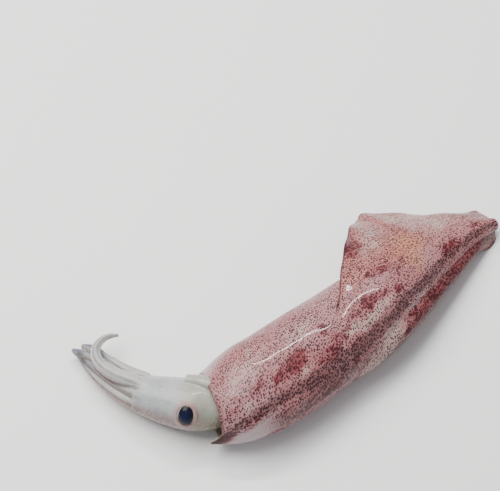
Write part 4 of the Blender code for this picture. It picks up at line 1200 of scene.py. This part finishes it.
def sucker_tree():
    """Geometry nodes: a small ringed sucker on every point, turned along its facing and sized by its size."""
    tree = bpy.data.node_groups.new("suckers", "GeometryNodeTree")
    face = tree.interface
    face.new_socket("Points", in_out="INPUT", socket_type="NodeSocketGeometry")
    for label, value in (("Sucker Radius", 0.0007), ("Rim Thickness", 0.3), ("Stalk Height", 0.6)):
        socket = face.new_socket(label, in_out="INPUT", socket_type="NodeSocketFloat")
        socket.default_value = value
    seed = face.new_socket("Seed", in_out="INPUT", socket_type="NodeSocketInt")
    seed.default_value = 5
    finish = face.new_socket("Finish", in_out="INPUT", socket_type="NodeSocketMaterial")
    finish.default_value = None
    face.new_socket("Suckers", in_out="OUTPUT", socket_type="NodeSocketGeometry")
    w = Wiring(tree)
    start, end = w.node("NodeGroupInput"), w.node("NodeGroupOutput")
    rim_path = w.node("GeometryNodeCurvePrimitiveCircle")
    rim_path.inputs["Resolution"].default_value = 12
    w.join(start.outputs["Sucker Radius"], rim_path.inputs["Radius"])
    rim_section = w.node("GeometryNodeCurvePrimitiveCircle")
    rim_section.inputs["Resolution"].default_value = 6
    w.join(w.maths("MULTIPLY", start.outputs["Sucker Radius"], start.outputs["Rim Thickness"]), rim_section.inputs["Radius"])
    rim = w.node("GeometryNodeCurveToMesh")
    w.join(rim_path.outputs[0], rim.inputs["Curve"])
    w.join(rim_section.outputs[0], rim.inputs["Profile Curve"])
    cup = w.node("GeometryNodeMeshCone")
    cup.inputs["Vertices"].default_value = 12
    height = w.maths("MULTIPLY", start.outputs["Sucker Radius"], start.outputs["Stalk Height"])
    w.join(height, cup.inputs["Depth"])
    w.join(start.outputs["Sucker Radius"], cup.inputs["Radius Top"])
    w.join(w.maths("MULTIPLY", start.outputs["Sucker Radius"], 0.6), cup.inputs["Radius Bottom"])
    drop = w.node("GeometryNodeTransform")
    w.join(cup.outputs["Mesh"], drop.inputs["Geometry"])
    down = w.node("ShaderNodeCombineXYZ")
    w.join(w.maths("MULTIPLY", height, -1.0), down.inputs["Z"])
    w.join(down.outputs[0], drop.inputs["Translation"])
    whole = w.node("GeometryNodeJoinGeometry")
    w.join(rim.outputs[0], whole.inputs[0])
    w.join(drop.outputs[0], whole.inputs[0])
    facing = w.node("GeometryNodeInputNamedAttribute", data_type="FLOAT_VECTOR")
    facing.inputs["Name"].default_value = "facing"
    size = w.node("GeometryNodeInputNamedAttribute", data_type="FLOAT")
    size.inputs["Name"].default_value = "size"
    turn = w.node("FunctionNodeAlignRotationToVector", axis="Z")
    w.join(facing.outputs["Attribute"], turn.inputs["Vector"])
    vary = w.node("FunctionNodeRandomValue", data_type="FLOAT")
    vary.inputs["Min"].default_value = 0.85
    vary.inputs["Max"].default_value = 1.15
    w.join(start.outputs["Seed"], vary.inputs["Seed"])
    spread = w.node("GeometryNodeInstanceOnPoints")
    w.join(start.outputs["Points"], spread.inputs["Points"])
    w.join(whole.outputs[0], spread.inputs["Instance"])
    w.join(turn.outputs[0], spread.inputs["Rotation"])
    w.join(w.maths("MULTIPLY", size.outputs["Attribute"], vary.outputs["Value"]), spread.inputs["Scale"])
    real = w.node("GeometryNodeRealizeInstances")
    w.join(spread.outputs[0], real.inputs[0])
    paint = w.node("GeometryNodeSetMaterial")
    w.join(real.outputs[0], paint.inputs["Geometry"])
    w.join(start.outputs["Finish"], paint.inputs["Material"])
    w.join(paint.outputs[0], end.inputs[0])
    return tree


def sucker_points(settings):
    """Two rows of places along the inner side of every arm, and four on the tentacle clubs."""
    found = limbs()
    heart = np.mean([path for name, path, radii in found if name.startswith("arm")], axis=0)
    places, facings, sizes = [], [], []
    for name, path, radii in found:
        ahead, side, up = frames_along(path)
        inward = heart - path
        inward -= ahead * (inward * ahead).sum(1)[:, None]
        inward /= np.linalg.norm(inward, axis=1)[:, None] + 1e-9
        beside = np.cross(ahead, inward)
        club = name.startswith("tentacle")
        rows = (-1.5, -0.5, 0.5, 1.5) if club else (-0.5, 0.5)
        first, last = (0.70, 0.97) if club else (0.22, 0.97)
        lengths = np.concatenate([[0.0], np.linalg.norm(np.diff(path, axis=0), axis=1).cumsum()])
        for row_number, row in enumerate(rows):
            at = lengths[-1] * first + (row_number % 2) * settings.sucker_radius
            while at < lengths[-1] * last:
                i = int(np.searchsorted(lengths, at))
                radius = radii[i]
                size = max(0.25, min(1.0, radius / 0.0032))
                lean = row * (0.55 if club else 0.9)
                facing = inward[i] * math.cos(lean) + beside[i] * math.sin(lean)
                place = path[i] + facing * (radius + settings.sucker_radius * 0.3 * size)
                if place[2] > settings.sucker_radius:
                    places.append(place + SHIFT)
                    facings.append(facing)
                    sizes.append(size)
                at += settings.sucker_radius * 2.9 * size
    return np.array(places), np.array(facings), np.array(sizes)


def sucker_mesh(settings, material):
    places, facings, sizes = sucker_points(settings)
    mesh = bpy.data.meshes.new("sucker_points")
    mesh.from_pydata(places.tolist(), [], [])
    facing = mesh.attributes.new("facing", "FLOAT_VECTOR", "POINT")
    facing.data.foreach_set("vector", facings.astype(np.float32).ravel())
    add_mask(mesh, "size", sizes)
    holder = bpy.data.objects.new("sucker_draft", mesh)
    bpy.context.scene.collection.objects.link(holder)
    tree = sucker_tree()
    modifier = holder.modifiers.new("suckers", "NODES")
    modifier.node_group = tree
    sockets = {item.name: item.identifier for item in tree.interface.items_tree if item.in_out == "INPUT"}
    modifier[sockets["Sucker Radius"]] = settings.sucker_radius
    modifier[sockets["Finish"]] = material
    depsgraph = bpy.context.evaluated_depsgraph_get()
    made = bpy.data.meshes.new_from_object(holder.evaluated_get(depsgraph))
    holder.modifiers.remove(modifier)
    bpy.data.objects.remove(holder)
    made.name = "suckers"
    for name in ("facing", "size"):
        if name in made.attributes:
            made.attributes.remove(made.attributes[name])
    face_outwards(made)
    return made

# ---------------------------------------------------------------- settings

def colour(name, description, default):
    return bpy.props.FloatVectorProperty(name=name, description=description, default=default, size=3, min=0.0,
                                         max=1.0, subtype="COLOR")


def length(name, description, default):
    return bpy.props.FloatProperty(name=name, description=description, default=default, min=0.0, unit="LENGTH",
                                   subtype="DISTANCE", precision=5)


class SquidLooks(bpy.types.PropertyGroup):
    """Sizes and colours of the squid's skin, flesh, suckers and eyes."""

    flesh_pale: colour("Pale flesh", "Palest ground colour of the skin", (0.365, 0.182, 0.194))
    flesh_pink: colour("Pink flesh", "Pinker ground colour of the skin", (0.335, 0.128, 0.130))
    flesh_lilac: colour("Lilac flesh", "Greyish lilac gaps between the streaks", (0.44, 0.33, 0.30))
    flesh_deep: colour("Deep flesh", "Duller colour that clouds the skin", (0.25, 0.125, 0.12))
    fin_colour: colour("Fin", "Ground colour of the fins", (0.42, 0.145, 0.120))
    tan_colour: colour("Tan patch", "Warm tan patches by the fins", (0.46, 0.19, 0.095))
    belly_colour: colour("Belly", "Unspotted underside", (0.40, 0.325, 0.335))
    crimson: colour("Crimson", "Crimson streaks and blotches", (0.165, 0.020, 0.030))
    band_colour: colour("Dark band", "Purple-brown band along the back", (0.125, 0.062, 0.060))
    spot_colour: colour("Spot", "Dark pigment spots", (0.028, 0.008, 0.014))
    spot_red: colour("Red spot", "Pigment spots inside crimson streaks", (0.045, 0.004, 0.007))
    spot_brown: colour("Brown spot", "Small brown pigment spots", (0.13, 0.040, 0.042))
    edge_colour: colour("Edge", "Thin dark edge of the fins and rim", (0.026, 0.006, 0.009))
    # Inside of the tube: dull olive, partly painted shade inside the rim.
    inside_tint_and_shade: colour("Inside", "Inside of the body tube at the rim", (0.32, 0.29, 0.20))
    spot_spacing: length("Spot spacing", "Distance between pigment spots", 0.00118)
    spot_radius: bpy.props.FloatProperty(name="Spot radius", description="Spot radius in shares of the spacing",
                                         default=0.34, min=0.0, max=1.0)
    milky_light: colour("Light milky flesh", "Head and arm flesh where it is thickest", (0.39, 0.385, 0.39))
    milky_deep: colour("Deep milky flesh", "Head and arm flesh where it is clearer", (0.33, 0.345, 0.345))
    milky_clear: colour("Clear flesh", "Bluish clear streaks of the head", (0.235, 0.265, 0.30))
    arm_colour: colour("Arm", "Arms away from the head", (0.44, 0.405, 0.37))
    arm_yellow: colour("Arm underside", "Yellowish underside of the arms", (0.55, 0.47, 0.32))
    blush_colour: colour("Arm back", "Brownish pink back edge of the arms", (0.20, 0.115, 0.10))
    tip_colour: colour("Arm tip", "Lilac-grey arm tips", (0.115, 0.115, 0.165))
    # Olive tint next to the rim, partly painted shade where the head goes under the mantle.
    collar_tint_and_shade: colour("Collar", "Olive tint next to the rim", (0.28, 0.27, 0.175))
    # Painted shade for the creases between the arms and the arm furrows.
    painted_crease_shade: colour("Crease", "Shaded creases between the arms", (0.085, 0.07, 0.055))
    eye_skin: colour("Eye surround", "Pinkish brown skin round the eyes", (0.30, 0.15, 0.15))
    sucker_radius: length("Sucker radius", "Radius of the largest suckers", 0.00062)
    lens_share: bpy.props.FloatProperty(name="Lens share", description="Dark lens radius in shares of the eye",
                                        default=0.80, min=0.1, max=0.95)
    lens_colour: colour("Lens", "Middle of the dark lens", (0.006, 0.010, 0.040))
    lens_edge: colour("Lens edge", "Edge of the dark lens", (0.004, 0.004, 0.010))
    ring_pale: colour("Pale ring", "Pale ring round the lens", (0.60, 0.50, 0.52))
    ring_pink: colour("Pink ring", "Pinker parts of the ring", (0.42, 0.24, 0.25))
    ring_dark: colour("Ring edge", "Dark outer edge of the ring", (0.12, 0.08, 0.09))


class SquidStage(bpy.types.PropertyGroup):
    """Camera, lights and floor."""

    azimuth: bpy.props.FloatProperty(name="Azimuth", description="Camera direction round the squid",
                                     default=math.radians(-41.29), subtype="ANGLE", unit="ROTATION")
    elevation: bpy.props.FloatProperty(name="Elevation", description="Camera height above the horizon",
                                       default=math.radians(57.22), subtype="ANGLE", unit="ROTATION")
    distance: length("Distance", "Camera distance from the point that it looks at", 0.9)
    lens: bpy.props.FloatProperty(name="Lens", description="Focal length in millimetres", default=131.5, min=1.0)
    aim: bpy.props.FloatVectorProperty(name="Aim", description="Point looked at, from the middle of the squid's box",
                                       default=(-0.0064, 0.0325, 0.0076), size=3, subtype="TRANSLATION",
                                       unit="LENGTH")
    floor_colour: colour("Floor", "Plain pale floor", (0.82, 0.82, 0.82))
    sky: bpy.props.FloatProperty(name="Sky", description="Strength of the even light all round", default=0.55, min=0.0)
    key_power: bpy.props.FloatProperty(name="Key light", description="Power of the large soft light", default=22.0,
                                       min=0.0, unit="POWER")
    strip_power: bpy.props.FloatProperty(name="Strip light", description="Power of the narrow light that draws the "
                                         "long highlights", default=8.0, min=0.0, unit="POWER")


# ---------------------------------------------------------------- operators

def finish_piece(piece):
    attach(piece, BODY)


class SQUID_OT_skin(bpy.types.Operator):
    """Build the body tube and both fins with their speckled skin"""

    bl_idname = "squid.skin"
    bl_label = "Mantle and fins"

    def execute(self, context):
        material = skin_material(context.scene.squid_looks)
        for name, mesh in (("mantle", mantle_mesh()), ("fin_far", fin_mesh(1)), ("fin_near", fin_mesh(-1))):
            piece = add_piece(name, mesh, material)
            finish_piece(piece)
            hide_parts("squid")
        return {"FINISHED"}


class SQUID_OT_head(bpy.types.Operator):
    """Build the head, funnel, arms and tentacles under one milky skin"""

    bl_idname = "squid.head"
    bl_label = "Head and arms"

    def execute(self, context):
        piece = add_piece("head_and_limbs", head_mesh(), flesh_material(context.scene.squid_looks))
        finish_piece(piece)
        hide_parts("squid")
        return {"FINISHED"}


class SQUID_OT_suckers(bpy.types.Operator):
    """Set rows of suckers along the arms and on the tentacle clubs"""

    bl_idname = "squid.suckers"
    bl_label = "Suckers"

    def execute(self, context):
        looks = context.scene.squid_looks
        material = sucker_material(looks)
        piece = add_piece("suckers", sucker_mesh(looks, material), material)
        finish_piece(piece)
        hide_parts("squid")
        return {"FINISHED"}


class SQUID_OT_eyes(bpy.types.Operator):
    """Build both eyes with a dark lens in a pale ring"""

    bl_idname = "squid.eyes"
    bl_label = "Eyes"

    def execute(self, context):
        material = eye_material(context.scene.squid_looks)
        for side, node in ((1, "eye_right"), (-1, "eye_left")):
            piece = add_piece(node + "_ball", eye_mesh(side), material)
            finish_piece(piece)
            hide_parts(node)
        return {"FINISHED"}


def aim_at(thing, place, target):
    thing.location = place
    thing.rotation_euler = (Vector(target) - Vector(place)).to_track_quat("-Z", "Y").to_euler()


def add_light(name, power, size_x, size_y, place, target, tint):
    data = bpy.data.lights.new(name, "AREA")
    data.shape = "RECTANGLE"
    data.size, data.size_y = size_x, size_y
    data.energy = power
    data.color = tint
    light = bpy.data.objects.new(name, data)
    bpy.context.scene.collection.objects.link(light)
    aim_at(light, place, target)
    return light


def floor_piece(tint):
    mesh = bpy.data.meshes.new("floor")
    half = 3.0
    mesh.from_pydata([(-half, -half, 0.0), (half, -half, 0.0), (half, half, 0.0), (-half, half, 0.0)], [],
                     [(0, 1, 2, 3)])
    material, w, shader = new_material("pale_floor")
    tone = w.ramp(w.noise(w.place(), 0.4, 2.0), 0.3, 0.7)
    shade = tuple(value * 0.985 for value in tint)
    w.join(w.mix(tone, (*tint, 1.0), (*shade, 1.0)), shader.inputs["Base Color"])
    shader.inputs["Roughness"].default_value = 0.6
    mesh.materials.append(material)
    floor = bpy.data.objects.new("floor", mesh)
    bpy.context.scene.collection.objects.link(floor)
    return floor


class SQUID_OT_stage(bpy.types.Operator):
    """Set the pale floor, soft lights and camera"""

    bl_idname = "squid.stage"
    bl_label = "Stage"

    def execute(self, context):
        stage = context.scene.squid_stage
        middle = (CAD_BOX[0] + CAD_BOX[1]) / 2.0
        floor_piece(stage.floor_colour)
        world = bpy.data.worlds.new("even_light")
        world.use_nodes = True
        world.node_tree.nodes["Background"].inputs["Color"].default_value = (0.93, 0.96, 1.0, 1.0)
        world.node_tree.nodes["Background"].inputs["Strength"].default_value = stage.sky
        context.scene.world = world
        add_light("soft_key", stage.key_power, 0.9, 0.9, middle + Vector((-0.25, 0.45, 0.95)), middle, (1.0, 0.98, 0.95))
        add_light("strip", stage.strip_power, 0.55, 0.035, middle + Vector((0.40, 0.45, 0.93)), middle,
                  (1.0, 0.97, 0.93))
        aim = middle + Vector(stage.aim)
        a, e = stage.azimuth, stage.elevation
        back = Vector((math.sin(a) * math.cos(e), -math.cos(a) * math.cos(e), math.sin(e)))
        data = bpy.data.cameras.new("camera")
        data.lens = stage.lens
        camera = bpy.data.objects.new("camera", data)
        context.scene.collection.objects.link(camera)
        aim_at(camera, aim + back * stage.distance, aim)
        context.scene.camera = camera
        return {"FINISHED"}


class SQUID_PT_panel(bpy.types.Panel):
    """Lists the squid's builders and their settings"""

    bl_idname = "SQUID_PT_panel"
    bl_label = "Whole Raw Squid"
    bl_space_type = "VIEW_3D"
    bl_region_type = "UI"
    bl_category = "Squid"

    def draw(self, context):
        for operator in OPERATORS:
            self.layout.operator(operator.bl_idname)
        for group in (context.scene.squid_looks, context.scene.squid_stage):
            box = self.layout.box()
            for name in group.__annotations__:
                box.prop(group, name)


OPERATORS = (SQUID_OT_skin, SQUID_OT_head, SQUID_OT_suckers, SQUID_OT_eyes, SQUID_OT_stage)
CLASSES = (SquidLooks, SquidStage, *OPERATORS, SQUID_PT_panel)


def register():
    for item in CLASSES:
        bpy.utils.register_class(item)
    bpy.types.Scene.squid_looks = bpy.props.PointerProperty(type=SquidLooks)
    bpy.types.Scene.squid_stage = bpy.props.PointerProperty(type=SquidStage)


def unregister():
    del bpy.types.Scene.squid_stage
    del bpy.types.Scene.squid_looks
    for item in reversed(CLASSES):
        bpy.utils.unregister_class(item)


def main():
    register()
    bpy.ops.squid.skin()
    bpy.ops.squid.head()
    bpy.ops.squid.suckers()
    bpy.ops.squid.eyes()
    bpy.ops.squid.stage()


if __name__ == "__main__":
    main()
